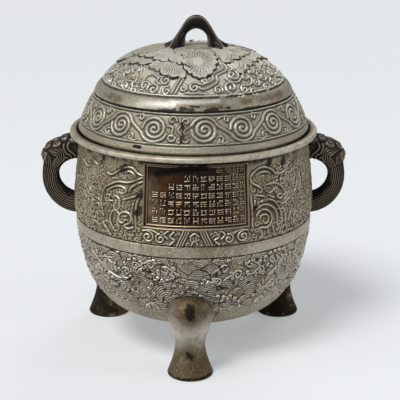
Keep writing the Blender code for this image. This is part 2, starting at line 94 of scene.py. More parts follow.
def spaced(line, count):
    """The same line, with its points evenly spaced along it."""
    s = travelled(line)
    want = np.linspace(0, s[-1], count)
    return np.stack([np.interp(want, s, line[:, k]) for k in range(line.shape[1])], axis=1)


def arc(centre, radius, start, end, count):
    """Points on an arc between two angles in degrees."""
    turn = np.radians(np.linspace(start, end, count))
    return np.array(centre) + radius * np.stack([np.cos(turn), np.sin(turn)], axis=1)


def path(*pieces):
    """Profile pieces joined end to end."""
    return np.concatenate([np.asarray(piece, float).reshape(-1, 2) for piece in pieces])


def offset(line, distance):
    """The line moved sideways. A positive distance is to the right of the way it runs."""
    tangent = np.gradient(line, axis=0)
    tangent /= np.linalg.norm(tangent, axis=1)[:, None]
    return line + distance * np.stack([tangent[:, 1], -tangent[:, 0]], axis=1)


def flow(points, steps=7):
    """A smooth line through a few points, each passed in the direction of its two neighbours."""
    p = np.asarray(points, float)
    p = np.concatenate([[2 * p[0] - p[1]], p, [2 * p[-1] - p[-2]]])
    a, b, c, d = p[:-3, None], p[1:-2, None], p[2:-1, None], p[3:, None]
    t = np.linspace(0, 1, steps, endpoint=False)[None, :, None]
    curve = 0.5 * (2 * b + (c - a) * t + (2 * a - 5 * b + 4 * c - d) * t**2 + (3 * b - a - 3 * c + d) * t**3)
    return np.concatenate([curve.reshape(-1, 2), p[-2:-1]])

# %% [markdown]
# The vessel is turned from three curves: the belly below its plain band, the wall above it and the
# dome of the lid. Their corner points are shares of the radii and heights named before.

# %% The three main curves
BAND_TOP = BAND_Z + BAND_W
NECK_Z = LIP_TOP - 2 * LIP_BEAD - NECK_FILLET
EDGE_Z = LID_BASE + LID_EDGE_RISE
depth, rise, dome_rise = BAND_Z - UNDERSIDE, NECK_Z - BAND_TOP, CROWN_Z - EDGE_Z
belly_line = four_point_curve([
    (BASE_R, UNDERSIDE), (BELLY_R - 0.12 * depth, UNDERSIDE),
    (BELLY_R - 0.06 * depth, BAND_Z - 0.34 * depth), (BELLY_R, BAND_Z)])
wall_line = four_point_curve([
    (BELLY_R, BAND_TOP), (BELLY_R + WALL_SWELL, BAND_TOP + 0.26 * rise),
    (NECK_R, BAND_TOP + 0.58 * rise), (NECK_R, NECK_Z)])
dome_line = four_point_curve([
    (LID_R, EDGE_Z), (0.80 * LID_R, EDGE_Z + 0.68 * dome_rise),
    (0.66 * LID_R, EDGE_Z + 0.94 * dome_rise), (CROWN_R, CROWN_Z)])
BELLY_LEN, WALL_LEN, DOME_LEN = (travelled(line)[-1] for line in (belly_line, wall_line, dome_line))


def along(line, distances):
    """Radius and height of a profile line at each distance travelled along it."""
    reached = travelled(line)
    return np.stack([np.interp(distances, reached, line[:, k]) for k in (0, 1)], axis=1)


print("lengths along the skin:", [round(v / MM, 1) for v in (BELLY_LEN, WALL_LEN, DOME_LEN)], "mm")

# %% [markdown]
# The relief on such a vessel is low: a millimetre or less. It is drawn flat, as on paper, and then
# the flat drawing is wrapped round the bronze. Each vertex knows its place on the paper, measures its
# distance to every line nearby, and takes its height from that.

# %% Distance to a drawn line
def nearest(points, line):
    """For each point, its distance to a line of straight pieces and the share of the line travelled."""
    start, step = line[:-1], np.diff(line, axis=0)
    length = np.maximum(np.linalg.norm(step, axis=1), 1e-6)
    gap = points[:, None] - start
    share = np.clip((gap * step).sum(2) / length**2, 0, 1)
    away = np.linalg.norm(gap - share[..., None] * step, axis=2)
    best = away.argmin(1)
    rows = np.arange(len(points))
    before = np.concatenate(([0], np.cumsum(length)))
    return away[rows, best], (before[best] + share[rows, best] * length[best]) / before[-1]


def inside_outline(points, outline):
    """Which points a closed outline holds: a ray to the right crosses it an odd number of times."""
    x, y = points[:, :1], points[:, 1:]
    one, other = outline, np.roll(outline, -1, axis=0)
    spans = (one[:, 1] > y) != (other[:, 1] > y)
    rise_by = np.where(other[:, 1] == one[:, 1], 1e-9, other[:, 1] - one[:, 1])
    crossing = one[:, 0] + (y - one[:, 1]) / rise_by * (other[:, 0] - one[:, 0])
    return (spans & (x < crossing)).sum(1) % 2 == 1

# %% The sheet that relief is drawn on
def softened(layer, reach):
    """The layer averaged over a small square of grid points, by running sums both ways."""
    tall = np.pad(layer, ((reach, reach), (0, 0)), mode="edge")
    wide = np.pad(tall, ((0, 0), (reach, reach)), mode="wrap")
    total = np.pad(wide.cumsum(0).cumsum(1), ((1, 0), (1, 0)))
    size = 2 * reach + 1
    upper = total[size:, size:] - total[size:, :-size]
    lower = total[:-size, size:] - total[:-size, :-size]
    return (upper - lower) / size**2


class Sheet:
    """A flattened skin in millimetres. It keeps the height, the stains and the painted light of every grid
    point.
    """

    RING_POINTS, SHORT_SWAY, LONG_SWAY = 121, 17.0, 41.0
    SETTLE = 10.0

    def __init__(self, across, up, period=None):
        self.across, self.up = (np.array(a, float) for a in np.broadcast_arrays(across, up))
        self.height = np.zeros(self.across.shape)
        for kind in ("brown", "dark", "pale", "polish"):
            setattr(self, kind, np.zeros(self.across.shape))
        self.period = period
        self.count = 0

    def near(self, line, reach):
        """The grid points inside the line's own box grown by reach, as a mask and as places."""
        low, high = line.min(0) - reach, line.max(0) + reach
        middle = (low[0] + high[0]) / 2
        across = self.across - middle
        if self.period:
            across = (across + self.period / 2) % self.period - self.period / 2
        across = across + middle
        mask = (across > low[0]) & (across < high[0]) & (self.up > low[1]) & (self.up < high[1])
        self.count += 1
        return mask, np.stack([across[mask], self.up[mask]], axis=1)

    def bar_over(self, line, width, taper):
        """Where a bar lies: its mask, its share of full width and 1 - (2 distance / width)^2 across it."""
        mask, places = self.near(line, width)
        away, share = nearest(places, line) if len(places) else (np.zeros(0), np.zeros(0))
        slim = 1 - taper * (1 - np.sin(np.pi * share) ** 0.5)
        return mask, slim, 1 - (2 * away / (width * slim)) ** 2

    def ridge(self, line, width=1.6, height=0.7, taper=0.0, base=0.0):
        """A rounded bar laid over what is there, narrowed towards its ends by taper."""
        mask, slim, bow = self.bar_over(np.asarray(line, float), width, taper)
        here = self.height[mask]
        self.height[mask] = np.where(bow > 0, np.maximum(here, base + height * slim * bow), here)

    def groove(self, line, width=1.0, depth=0.4, taper=0.0):
        """A cut with rounded sides, taken off whatever is there."""
        mask, slim, bow = self.bar_over(np.asarray(line, float), width, taper)
        self.height[mask] -= depth * slim * np.clip(bow, 0, 1)

    def plate(self, outline, height=0.8, edge=1.0, sink=0.0):
        """A patch raised inside its outline. It slopes down over its edge and covers what lies under it."""
        outline = np.asarray(outline, float)
        closed = np.concatenate([outline, outline[:1]])
        mask, places = self.near(closed, edge)
        if len(places):
            away, _ = nearest(places, closed)
            deep = np.where(inside_outline(places, outline), away, -away)
            value = height * np.clip(0.5 + deep / edge, 0, 1) - sink * np.clip(deep / self.SETTLE, 0, 1)
            here = self.height[mask]
            slope = np.where(deep > -edge / 2, np.maximum(here, value), here)
            self.height[mask] = np.where(deep > edge / 2, value, slope)

    def stain_and_light(self, kind, line, reach, strength=1.0):
        """Colour that fades away from a line: strength * (1 - distance / reach), for stains and painted light
        alike.
        """
        line = np.asarray(line, float)
        mask, places = self.near(line, reach)
        if len(places):
            away, _ = nearest(places, line)
            layer = getattr(self, kind)
            layer[mask] = np.maximum(layer[mask], strength * np.clip(1 - away / reach, 0, 1))

    def streaks(self, kind, starts, run, reach, strength):
        """Short stains of one kind: each runs from its start by the same step."""
        for start in starts:
            self.stain_and_light(kind, [start, np.add(start, run)], reach, strength)

    def ring(self, up, wobble=0.0):
        """A line right round the sheet at one height, a little unsteady as cast lines are."""
        x = np.linspace(-self.period / 2, self.period / 2, self.RING_POINTS)
        sway = np.sin(x / self.SHORT_SWAY) * np.sin(x / self.LONG_SWAY + 1)
        return np.stack([x, up + wobble * sway], axis=1)

    def crisp(self, amount=0.8, reach=2):
        """Chasing: ground beside a ridge sinks and its crest lifts, height + amount * (height - softened)."""
        self.height = self.height + amount * (self.height - softened(self.height, reach))

# %% [markdown]
# Two strokes come back all over the casting: a spiral that winds to an eye and a comma-shaped curl.
# Each is a short function that gives a line, so a whole cloud is a few calls. Two more functions move
# a line or mirror it.

# %% Strokes that come back
def spiral(x, y, radius, turns=1.5, start=0.0, hand=1, eye=0.6):
    """From the rim to the eye: the radius shrinks evenly while the angle (degrees) runs on by turns."""
    t = np.linspace(0, 1, int(12 * turns) + 3)
    turn = math.radians(start) + hand * math.tau * turns * t
    reach = eye + (radius - eye) * (1 - t)
    return np.stack([x + reach * np.cos(turn), y + reach * np.sin(turn)], axis=1)


def curl(x, y, radius, start=0.0, hand=1):
    """A comma: nearly one turn that tightens towards its end."""
    return spiral(x, y, radius, 0.85, start, hand, 0.25 * radius)


def mirrored(line):
    """The same line seen in a mirror that stands at the sheet's zero."""
    return np.asarray(line, float) * (-1, 1)


def moved(line, x, y=0.0):
    """The same line drawn somewhere else."""
    return np.asarray(line, float) + (x, y)

# %% [markdown]
# A grid of points becomes a mesh by joining each point to its right and upper neighbours. A ring of
# points closes on itself, and a pole is one shared point. The heights, stains and painted light go along
# as attributes, so the material can darken hollows with dirt and painted shade, brighten ridges with wear
# and a painted highlight, and paint the relief lit on its upper sides and shaded on its lower ones.

# %% From grid to mesh
LAYERS = ("relief", "upper", "brown", "dark", "pale", "polish")
NARROW, WIDE = 2, 6


def mesh_piece(name, points, quads, triangles, values):
    """Writes points, faces and attributes into a new mesh in whole arrays, and shades it smooth."""
    mesh = bpy.data.meshes.new(name)
    mesh.vertices.add(len(points))
    mesh.vertices.foreach_set("co", points.astype(np.float32).ravel())
    loops = np.concatenate([quads.ravel(), triangles.ravel()]).astype(np.int32)
    sizes = np.concatenate([np.full(len(quads), 4), np.full(len(triangles), 3)])
    mesh.loops.add(len(loops))
    mesh.loops.foreach_set("vertex_index", loops)
    mesh.polygons.add(len(sizes))
    mesh.polygons.foreach_set("loop_start", np.concatenate(([0], np.cumsum(sizes)[:-1])).astype(np.int32))
    mesh.polygons.foreach_set("use_smooth", np.ones(len(sizes), bool))
    mesh.update(calc_edges=True)
    mesh.validate()
    for key, value in values.items():
        mesh.attributes.new(key, "FLOAT", "POINT").data.foreach_set("value", value.astype(np.float32))
    piece = bpy.data.objects.new(name, mesh)
    bpy.context.collection.objects.link(piece)
    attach(piece, "root")
    print(name, len(quads) * 2 + len(triangles), "triangles")
    return piece


def close_grid(name, grid, layers, poles=(), ring_rows=False):
    """Rows of points that each close round the piece. ring_rows also joins the last row to the first."""
    rows, columns = grid.shape[:2]
    number = np.arange(rows * columns).reshape(rows, columns)
    if ring_rows:
        number = np.concatenate([number, number[:1]])
    right = np.roll(number, -1, axis=1)
    faces = np.stack([number[:-1], right[:-1], right[1:], number[1:]], axis=-1).reshape(-1, 4)
    points = grid.reshape(-1, 3)
    values = {key: layer.reshape(-1) for key, layer in layers.items()}
    triangles = np.zeros((0, 3), int)
    for row, place in poles:
        centre = len(points)
        points = np.concatenate([points, [place]])
        values = {key: np.append(value, 0.0) for key, value in values.items()}
        fan = (right[row], number[row]) if row == 0 else (number[row], right[row])
        triangles = np.concatenate([triangles, np.stack([*fan, np.full(columns, centre)], axis=1)])
    return mesh_piece(name, points, faces, triangles, values)


def crest_and_foot(height):
    """How far each point stands over its surroundings: positive on crests, negative beside a ridge."""
    return 1.5 * (height - softened(height, NARROW)) + 0.5 * (height - softened(height, WIDE))


def painted_light_slope(sheet):
    """The relief's slope: positive facing the top of the piece, painted lit there and painted shaded below.
    """
    step = np.hypot(np.gradient(sheet.across, axis=0), np.gradient(sheet.up, axis=0))
    return -np.gradient(sheet.height, axis=0) / np.maximum(step, 0.05)


def layers_of(shape, sheet=None, rows=None):
    """Attribute layers for a grid: nothing anywhere, but the sheet's own layers on the rows it covers."""
    layers = {key: np.zeros(shape) for key in LAYERS}
    if sheet is not None:
        layers["relief"][rows] = crest_and_foot(sheet.height)
        # The upper layer is painted light: a highlight on the relief's upper sides, shade on its lower sides.
        layers["upper"][rows] = painted_light_slope(sheet)
        for key in LAYERS[2:]:
            layers[key][rows] = getattr(sheet, key)
    return layers

# %% [markdown]
# A turned piece is a profile carried round the axis. Its columns stand closer together at the front,
# where the eye looks first, by the formula angle = 2 pi t - k sin(2 pi t).

# %% Turning a profile
FRONT_FINENESS = 0.35


def columns_round(count):
    """Angles from the front, to the right positive, denser at the front."""
    t = np.arange(count) / count
    angle = math.tau * t - FRONT_FINENESS * np.sin(math.tau * t)
    return (angle + np.pi) % math.tau - np.pi


def sheet_round(angles, radius, up):
    """A sheet that goes right round: its width is the circle of a radius, its height the rows' distances."""
    return Sheet(angles[None, :] * radius / MM, up[:, None], math.tau * radius / MM)


def turn_profile(profile, lift, angles):
    """Radius and height per row, pushed out along the profile's normal by lift, then round by angle."""
    tangent = np.gradient(profile, axis=0)
    tangent /= np.maximum(np.linalg.norm(tangent, axis=1), 1e-12)[:, None]
    radius = profile[:, :1] + tangent[:, 1:] * lift
    height = profile[:, 1:] - tangent[:, :1] * lift
    return np.stack([radius * np.sin(angles), -radius * np.cos(angles), height + 0 * angles], axis=-1)

# %% [markdown]
# The upper wall carries the inscribed panel at the front and a beast mask on each side of it. Each
# mask is a few dozen soft bands laid on the wax: brows, leaves and coils. The two sides differ, so each
# has its own drawing. The sheet's zero is the middle of the front.

# %% Lines of the two beast masks, in millimetres
WALL_ROWS, WALL_COLUMNS = 112, 680
wall_angles = columns_round(WALL_COLUMNS)
wall_profile = spaced(wall_line, WALL_ROWS)
wall = sheet_round(wall_angles, BELLY_R, np.linspace(0, WALL_LEN / MM, WALL_ROWS))
LEFT_MASK = [
    (2.7, [(-92, 63), (-85, 62), (-76, 67), (-67, 72), (-60, 72), (-55, 68), (-50, 66)]),
    (1.7, [(-68, 66), (-64, 68.5), (-59.5, 67), (-57, 63)]),
    (2.6, [(-94, 48), (-87, 52), (-77, 56.5), (-65.5, 57.5), (-57, 60.5), (-50, 64)]),
    (2.1, [(-90, 45.5), (-84, 49.5), (-76, 52.5), (-69.5, 52), (-67, 48.5), (-71, 46), (-75.5, 47)]),
    (2.5, [(-94, 48), (-97, 41), (-98, 33), (-96, 26), (-94, 20)]),
    (2.8, [(-63, 49.5), (-61.5, 53), (-56, 57), (-50, 60)]),
    (2.3, [(-70, 40.5), (-61.5, 43.5), (-55, 46.5), (-50, 50)]),
    (2.0, [(-91.5, 41), (-86, 42), (-87.5, 37), (-82, 37)]),
    (2.1, [(-80, 43), (-75, 40.5), (-74, 35), (-75, 30), (-79, 29), (-81, 33)]),
    (2.5, [(-79, 29), (-83, 25.5), (-85, 19), (-83, 13), (-79, 8)]),
    (2.3, [(-79, 29), (-74, 26), (-76, 17.5), (-74, 11)]),
    (2.6, [(-58, 15.5), (-63, 13.5), (-68, 15.5), (-62, 19), (-60, 24), (-63, 28.5),
           (-69, 28.5), (-74, 24), (-73.5, 19), (-69.5, 18), (-67, 21.5)]),
    (2.4, [(-50, 48), (-53.5, 42), (-55.5, 35), (-55.5, 24), (-55, 14)]),
    (2.2, [(-58.5, 38), (-60, 29), (-58, 19)]),
    (2.0, [(-108, 35), (-102, 35), (-100, 32)]), (2.0, [(-109, 28), (-102, 30.5), (-100, 26)]),
    (2.0, [(-112, 12), (-103.5, 11), (-99, 7)]), (2.0, [(-123, 71.5), (-113, 70), (-106, 67)]),
    (2.0, [(-139, 66), (-126, 62), (-118, 64)]), (2.2, [(-95, 14), (-90, 8), (-85, 3)]),
]
RIGHT_MASK = [
    (2.6, [(56, 64), (59, 67.5), (64.5, 71), (72, 71.5), (80, 68), (86, 63), (93.5, 62), (101, 64)]),
    (1.8, [(62, 65), (67, 67), (74, 66.5), (79, 63.5)]),
    (2.3, [(56, 62), (57.5, 58), (64, 54), (68.5, 50), (66, 47.5)]),
    (2.2, [(73, 54), (82, 54.5), (90.5, 51), (97, 44)]), (1.9, [(72, 49.5), (77, 46), (84, 49)]),
    (1.9, [(90, 43), (93, 40), (90, 37.5), (87, 40.5), (90, 43)]),
    (2.0, [(62, 45.5), (69, 44), (71.5, 41), (66, 39.5)]),
    (2.5, [(61, 26), (65, 30.5), (70, 31), (76, 27.5), (79, 21), (76.5, 15.5), (72, 13), (67, 14), (63, 13)]),
    (2.2, [(64.5, 23), (67, 26), (72, 25.5), (74.5, 22), (73.5, 18.5), (70, 17.5), (68.5, 20.5)]),
    (2.4, [(61.5, 32.5), (68, 35.5), (75, 34.5), (82, 29.5), (85.5, 22), (85.5, 12)]),
    (2.4, [(66, 38.5), (77, 39.5), (86, 33), (91, 23), (91.5, 10)]),
    (1.9, [(76.5, 44), (79, 41.5), (83, 40.5)]), (2.0, [(87, 35.5), (94, 32.5), (100, 34)]),
    (2.1, [(98, 22), (97, 13), (100.5, 4)]), (2.0, [(91, 10), (89.5, 3)]), (2.0, [(80, 12), (83, 4)]),
    (2.4, [(55.5, 46), (56.5, 36), (56.5, 16)]), (1.9, [(60, 41), (59.5, 36)]),
    (2.1, [(103, 54), (107, 46), (104, 38)]), (2.1, [(114, 60), (119, 50), (115, 41)]),
    (2.1, [(125, 65), (131, 55), (133, 44)]), (2.1, [(108, 33), (113, 24), (110, 15)]),
    (2.1, [(100, 31), (104, 24), (102, 15)]), (2.0, [(106, 70), (113, 66), (120, 70)]),
]
HALF_ROUND = math.pi * BELLY_R / MM
MASK_SPREAD, MASK_TAPER = 0.3, 0.3


def beast_mask(sheet, mask, about=0.0, flip=1, height=1.0):
    """Soft bands of bronze, each drawn by its own width and points. A flip of -1 gives the mirror image."""
    for width, points in mask:
        line = flow(points) if flip > 0 else mirrored(flow(points))
        sheet.ridge(moved(line, about), width + MASK_SPREAD, height, MASK_TAPER)


for mask in (LEFT_MASK, RIGHT_MASK):
    beast_mask(wall, mask)
for flip in (1, -1):
    beast_mask(wall, LEFT_MASK, HALF_ROUND, flip, 0.8)
print("mask strokes:", wall.count)

# %% [markdown]
# Between the masks, the handles and the edges the ground is filled with small clouds. They are laid
# by a fixed rule with a seeded shuffle, so that every run draws the same ones. A border of slanting
# bars, hooks and spirals runs under the panel, stains lie where dirt has kept, and a painted shadow
# darkens the wall under the lip.

# %% Small clouds that fill a ground
PANEL_AT, PANEL_CLEAR, PANEL_FOOT = 2.6, 54, 14


def cloud_fill(sheet, seed, x_range, y_range, step, size, height=0.5, width=1.5, keep=None):
    """Curls on a shuffled grid: each has its own turn and hand, and a short tail towards the next."""
    draw = np.random.default_rng(seed)
    for row, y in enumerate(np.arange(y_range[0], y_range[1], step)):
        for x in np.arange(x_range[0] + (row % 2) * step / 2, x_range[1], step):
            shake = draw.uniform(-0.25, 0.25, 2) * step
            start, hand = draw.uniform(0, 360), draw.choice((-1, 1))
            radius = size * draw.uniform(0.7, 1.25)
            strength = height * draw.uniform(0.6, 1.2)
            if keep is not None and not keep(x, y):
                continue
            line = curl(x + shake[0], y + shake[1], radius, start, hand)
            out = line[0] - line[1]
            way = out / np.linalg.norm(out)
            bend = np.array([-way[1], way[0]]) * hand * 0.5
            tail = line[0] + radius * np.array([1.9 * way + bend, 0.9 * way])
            sheet.ridge(np.concatenate([tail, line]), width, strength, 0.35)


def free_ground(sheet, x, y, limit=0.25):
    """True where nothing has been drawn yet near a place."""
    row = np.clip(np.searchsorted(sheet.up[:, 0], y), 2, len(sheet.up) - 3)
    column = np.abs(sheet.across[0] - x).argmin()
    return sheet.height[row - 2:row + 3, max(column - 2, 0):column + 3].mean() < limit


def wall_ground(x, y):
    """True off the panel, where the masks leave the wall bare."""
    return not (abs(x - PANEL_AT) < PANEL_CLEAR and y > PANEL_FOOT) and free_ground(wall, x, y)


def under_panel(sheet, side):
    """One half of the border: three slanting bars, a broken line, a hook, two spirals and their stem."""
    for shift in (0, 2.4, 4.8):
        sheet.ridge([(side * (5 + shift) + 1, 16.5), (side * (11.5 + shift) + 1, 1.5)], 1.8, 1.1)
    zigzag = [(side * 19 + 1, 15), (side * 22.5 + 1, 10), (side * 18.5 + 1, 7), (side * 23 + 1, 2)]
    sheet.ridge(flow(zigzag), 2.3, 1.0)
    sheet.ridge(flow([(side * 24 + 1, 16), (side * 28 + 1, 12), (side * 25 + 1, 8)]), 2.1, 1.0)
    sheet.ridge(spiral(side * 45 + 2, 8.5, 6.0, 1.5, 90, side, 0.8), 2.4, 1.1)
    sheet.ridge(spiral(side * 32 + 1, 7.5, 5.0, 1.3, 100, -side, 0.8), 2.3, 1.0)
    sheet.ridge(flow([(side * 50 + 2, 14), (side * 42 + 2, 15.5), (side * 35 + 2, 12.5)]), 2.0, 0.9)


for side in (-1, 1):
    under_panel(wall, side)
for arch in ([(-3, 11), (1, 14), (5, 11)], [(-2, 2), (1, 7), (4, 2)]):
    wall.ridge(flow(arch), 1.8, 1.0)
all_round = (-HALF_ROUND, HALF_ROUND)
for seed, x_range, y_range, step, size, height, width in (
        (11, all_round, (20, 74), 6.0, 2.2, 0.42, 1.8), (13, (86, 200), (10, 70), 5.0, 2.4, 0.8, 1.8),
        (14, (-200, -100), (10, 50), 5.0, 2.4, 0.8, 1.8), (12, all_round, (3, 19), 5.4, 2.0, 0.6, 1.6)):
    cloud_fill(wall, seed, x_range, y_range, step, size, height, width, wall_ground)
wall.crisp(0.9)
wall.groove(wall.ring(0.4), 1.6, 0.4)
# A painted shadow under the lip.
wall.stain_and_light("dark", wall.ring(79.5), 9.0, 0.75)
wall.stain_and_light("dark", wall.ring(0.3), 1.6, 0.8)
wall.streaks("brown", [(x, 26) for x in (-112, -100, -62, 68, 104, 116)], (6, 34), 16, 0.55)
pits = [(-72, 68), (76, 74), (96, 72), (-100, 72), (-54, 30), (-53, 46), (57, 30)]
wall.streaks("dark", pits, (3, 5), 8, 0.9)
wall.streaks("pale", [(x, 20) for x in (-128, -116, -74, 98, 108, 120)], (4, 40), 8, 0.35)
wall.stain_and_light("brown", [(-118, 66), (-110, 74)], 8, 0.9)
wall.stain_and_light("brown", [(112, 66), (122, 74)], 8, 0.9)
print("all wall strokes:", wall.count)

# %% [markdown]
# The wall piece is one closed ring: up the outside, over the rounded lip, down into the seat that the
# lid rests on, and down the inside. Below, it ends hidden behind the plain band.

# %% Build the upper wall
inner_wall = offset(wall_line, -WALL_THICK)[::-1]
inner_wall = inner_wall[inner_wall[:, 1] < SEAT_Z - 2 * MOUTH_LIP]
seat_r = LID_R + SEAT_CLEARANCE
rim = path(
    [(NECK_R + 0.5 * CORNER, NECK_Z + 0.4 * NECK_FILLET)],
    [(NECK_R + 2.5 * CORNER, NECK_Z + 0.85 * NECK_FILLET)],
    arc((LIP_R - LIP_BEAD, LIP_TOP - LIP_BEAD), LIP_BEAD, -90, 90, 9),
    [(seat_r + CORNER, LIP_TOP), (seat_r, LIP_TOP - CORNER)],
    [(seat_r, SEAT_Z + 0.75 * CORNER), (seat_r - 0.75 * CORNER, SEAT_Z)],
    [(MOUTH_R + CORNER, SEAT_Z), (MOUTH_R, SEAT_Z - CORNER), (MOUTH_R, SEAT_Z - MOUTH_LIP)])
foot = [(BELLY_R - WALL_THICK, BAND_TOP), (BELLY_R - 0.6 * WALL_THICK, BAND_TOP - 1.75 * CORNER),
        (BELLY_R, BAND_TOP - 3 * CORNER)]
wall_all = path(wall_profile, rim, spaced(inner_wall, 12)[:-1], foot)
lift = np.zeros((len(wall_all), WALL_COLUMNS))
lift[:WALL_ROWS] = wall.height * MM
behind_panel = (abs(wall.across - PANEL_AT) < 49) & (wall.up > 19)
lift[:WALL_ROWS][behind_panel] = -0.2 * MM
wall_layers = layers_of(lift.shape, wall, slice(0, WALL_ROWS))
neck, under_lip, lip, inside_mouth = (WALL_ROWS + row for row in (0, 4, 5, 12))
# Painted shade under the lip, in the seat's gap and inside the bowl; a painted highlight on the lip's top.
wall_layers["dark"][neck:under_lip] = 0.95
wall_layers["dark"][under_lip] = 0.3
wall_layers["pale"][lip:inside_mouth - 1] = 0.7
wall_layers["dark"][inside_mouth:] = 1.0
bowl_wall = close_grid("bowl_wall", turn_profile(wall_all, lift, wall_angles), wall_layers, ring_rows=True)

# %% [markdown]
# Below the band the bowl shows a rough sea: fans of combed arcs for the swells, crests that curl over
# and drop their foam, and smooth rocks between. The swells come first, as a seeded pattern all round,
# and the larger forms of the front are laid over them. The lowest part of the belly is plain.

# %% Draw the sea round the belly
BELLY_ROWS, BELLY_COLUMNS = 124, 640
PLAIN_ROWS, BELLY_START = 12, 50.0
SEA_LOW, SEA_HIGH = 58.0, 118.2
COMB, FOAM_R = 2.25, 1.9
belly_angles = columns_round(BELLY_COLUMNS)
belly_up = np.concatenate([
    np.linspace(0, BELLY_START, PLAIN_ROWS, endpoint=False),
    np.linspace(BELLY_START, BELLY_LEN / MM, BELLY_ROWS - PLAIN_ROWS)])
belly = sheet_round(belly_angles, BELLY_R, belly_up)


def swell(sheet, x, y, size, start, end, foam=1, height=0.55, squash=0.9):
    """A raised fan, combed by arcs that run from one angle to the other, with foam along its crest."""
    turn = np.radians(np.linspace(start, end, 15))
    shape = np.stack([np.cos(turn), squash * np.sin(turn)], axis=1)
    centre = np.array([x, y], float)
    sheet.plate(np.concatenate([centre + size * shape, [centre]]), 0.3, 1.2)
    for radius in np.arange(size - 0.9, 2.5, -COMB):
        sheet.ridge(centre + radius * shape, 1.5, 0.8 * height, 0.5, 0.22)
    # Dirt with a painted shade along the fan's edge.
    sheet.stain_and_light("dark", centre + (size + 0.2) * shape, 1.5, 0.7)
    if foam:
        crest = spaced(centre + (size + 0.9) * shape, max(3, int(size * abs(end - start) / 290)))
        for index, (foam_x, foam_y) in enumerate(crest):
            sheet.ridge(curl(foam_x, foam_y, FOAM_R, start + 60 * index, foam), 1.7, 1.1)


def breaker(sheet, x, y, size, hand, height=1.1):
    """A breaking crest: a back that rises, a curl at its head and three drops of foam under it."""
    back = [(-3.2, -1.1), (-1.5, 0.1), (-0.3, 1.0)]
    line = flow([(x + hand * u * size, y + v * size) for u, v in back])
    sheet.ridge(np.concatenate([line, spiral(x, y, size, 1.2, 90, -hand, 0.7)]), 2.2, height, 0.25)
    for turn, (u, v) in zip((0, 70, 140), ((-2.5, -0.7), (-1.2, -0.85), (0.1, -0.7))):
        sheet.ridge(curl(x + hand * u * size, y + v * size, 0.45 * size, turn, hand), 1.6, 0.85 * height)


def rock(sheet, x, y, width, tall, height=1.2):
    """A smooth rock: a lumpy mound with facets cut into it, drawn in shares of its width and height."""
    def shaped(points):
        return [(x + u * width, y + v * tall) for u, v in points]

    rim = [(-0.5, -0.5), (-0.42, 0), (-0.2, 0.25), (-0.05, 0.5), (0.2, 0.3), (0.34, 0), (0.5, -0.5)]
    sheet.plate(flow(shaped(rim)), height, 1.4)
    sheet.groove(flow(shaped([(-0.05, 0.42), (-0.1, 0), (0.04, -0.4)])), 1.4, 0.6)
    sheet.groove(shaped([(0.2, 0.2), (0.24, -0.4)]), 1.3, 0.5)


draw = np.random.default_rng(5)
for row, y in enumerate(np.arange(110, 50, -8.5)):
    for x in np.arange(-372, 372, 20.0):
        lean = draw.uniform(-45, 45)
        span = draw.uniform(110, 165)
        place = x + (row % 2) * 10 + draw.uniform(-4, 4), y + draw.uniform(-3, 3), draw.uniform(9, 14.5)
        opening = 90 + lean + span / 2, 90 + lean - span / 2
        swell(belly, *place, *opening, draw.choice((-1, 0, 1)), 0.5, draw.uniform(0.65, 1.1))
for front_swell in (
        (5, 119, 22, 200, 340, 0, 0.6, 0.85), (-58, 66, 30, 100, 40, 1, 0.55, 1.1),
        (-26, 70, 22, 150, 70, -1, 0.55, 1.1), (62, 66, 28, 130, 62, 1, 0.55, 1.1),
        (16, 74, 19, 150, 40, 1, 0.55, 0.95), (-6, 62, 14, 150, 30, 1, 0.55, 0.9),
        (38, 58, 14, 150, 40, -1, 0.55, 0.9)):
    swell(belly, *front_swell)
belly.ridge(flow([(-120, 109), (-106, 99), (-96, 93), (-82, 89), (-68, 91)]), 2.6, 1.3)
belly.ridge(flow([(-110, 104), (-98, 107), (-86, 109)]), 2.2, 1.1)
for front_rock in (
        (-92, 100, 26, 13), (-112, 92, 14, 9), (-46, 62, 18, 8), (78, 64, 18, 8), (101, 104, 18, 10)):
    rock(belly, *front_rock)
for crest in (
        (30, 107, 3.8, 1), (44, 99, 4.4, 1), (57, 108, 4.2, -1), (70, 99, 4.4, 1), (84, 108, 4.4, -1),
        (92, 94, 4.2, 1), (-27, 105, 4.2, -1), (-42, 110, 4.2, 1), (-58, 106, 4.2, -1), (-70, 98, 4.0, 1),
        (-78, 80, 4.4, 1), (-102, 80, 4.6, -1), (88, 80, 4.4, 1), (24, 93, 3.8, 1), (-120, 104, 4.0, 1),
        (112, 90, 4.2, -1)):
    breaker(belly, *crest)
for group in range(7):
    beside = 122 + group * 19.5
    hand = 1 if group % 2 else -1
    breaker(belly, beside, 104 - 16 * (group % 3), 4.0, hand)
    breaker(belly, -beside, 100 - 14 * (group % 3), 4.0, -hand)
    if group % 3 == 1:
        rock(belly, beside + 8, 98, 20, 10)
        rock(belly, -beside - 8, 70, 18, 9)
belly.crisp(0.95)
belly.height[(belly.up < SEA_LOW) | (belly.up > SEA_HIGH)] = 0
belly.ridge(belly.ring(SEA_LOW + 0.4), 1.7, 0.55)
belly.groove(belly.ring(SEA_LOW - 1.0), 1.6, 0.3)
belly.stain_and_light("dark", belly.ring(BELLY_LEN / MM), 3.0, 1.1)
for reach, pits in (
        (3.0, [(-32, 111), (-50, 103), (62, 112), (70, 107), (85, 112), (-84, 92)]),
        (2.6, [(-44, 102), (-37, 93), (-8, 84), (40, 90), (-66, 84), (56, 88)]),
        (2.4, [(-30, 84), (-43, 72), (20, 100)])):
    belly.streaks("dark", pits, (2.5, 1), reach, 0.9)
belly.streaks("brown", [(-20, 80), (10, 64), (-60, 96), (70, 92), (-100, 66), (44, 76)], (14, 5), 13, 0.6)
smudges = [
    (-84, 104), (-66, 74), (-40, 96), (-14, 88), (4, 108), (24, 80), (46, 100), (58, 72), (92, 98), (104, 74)]
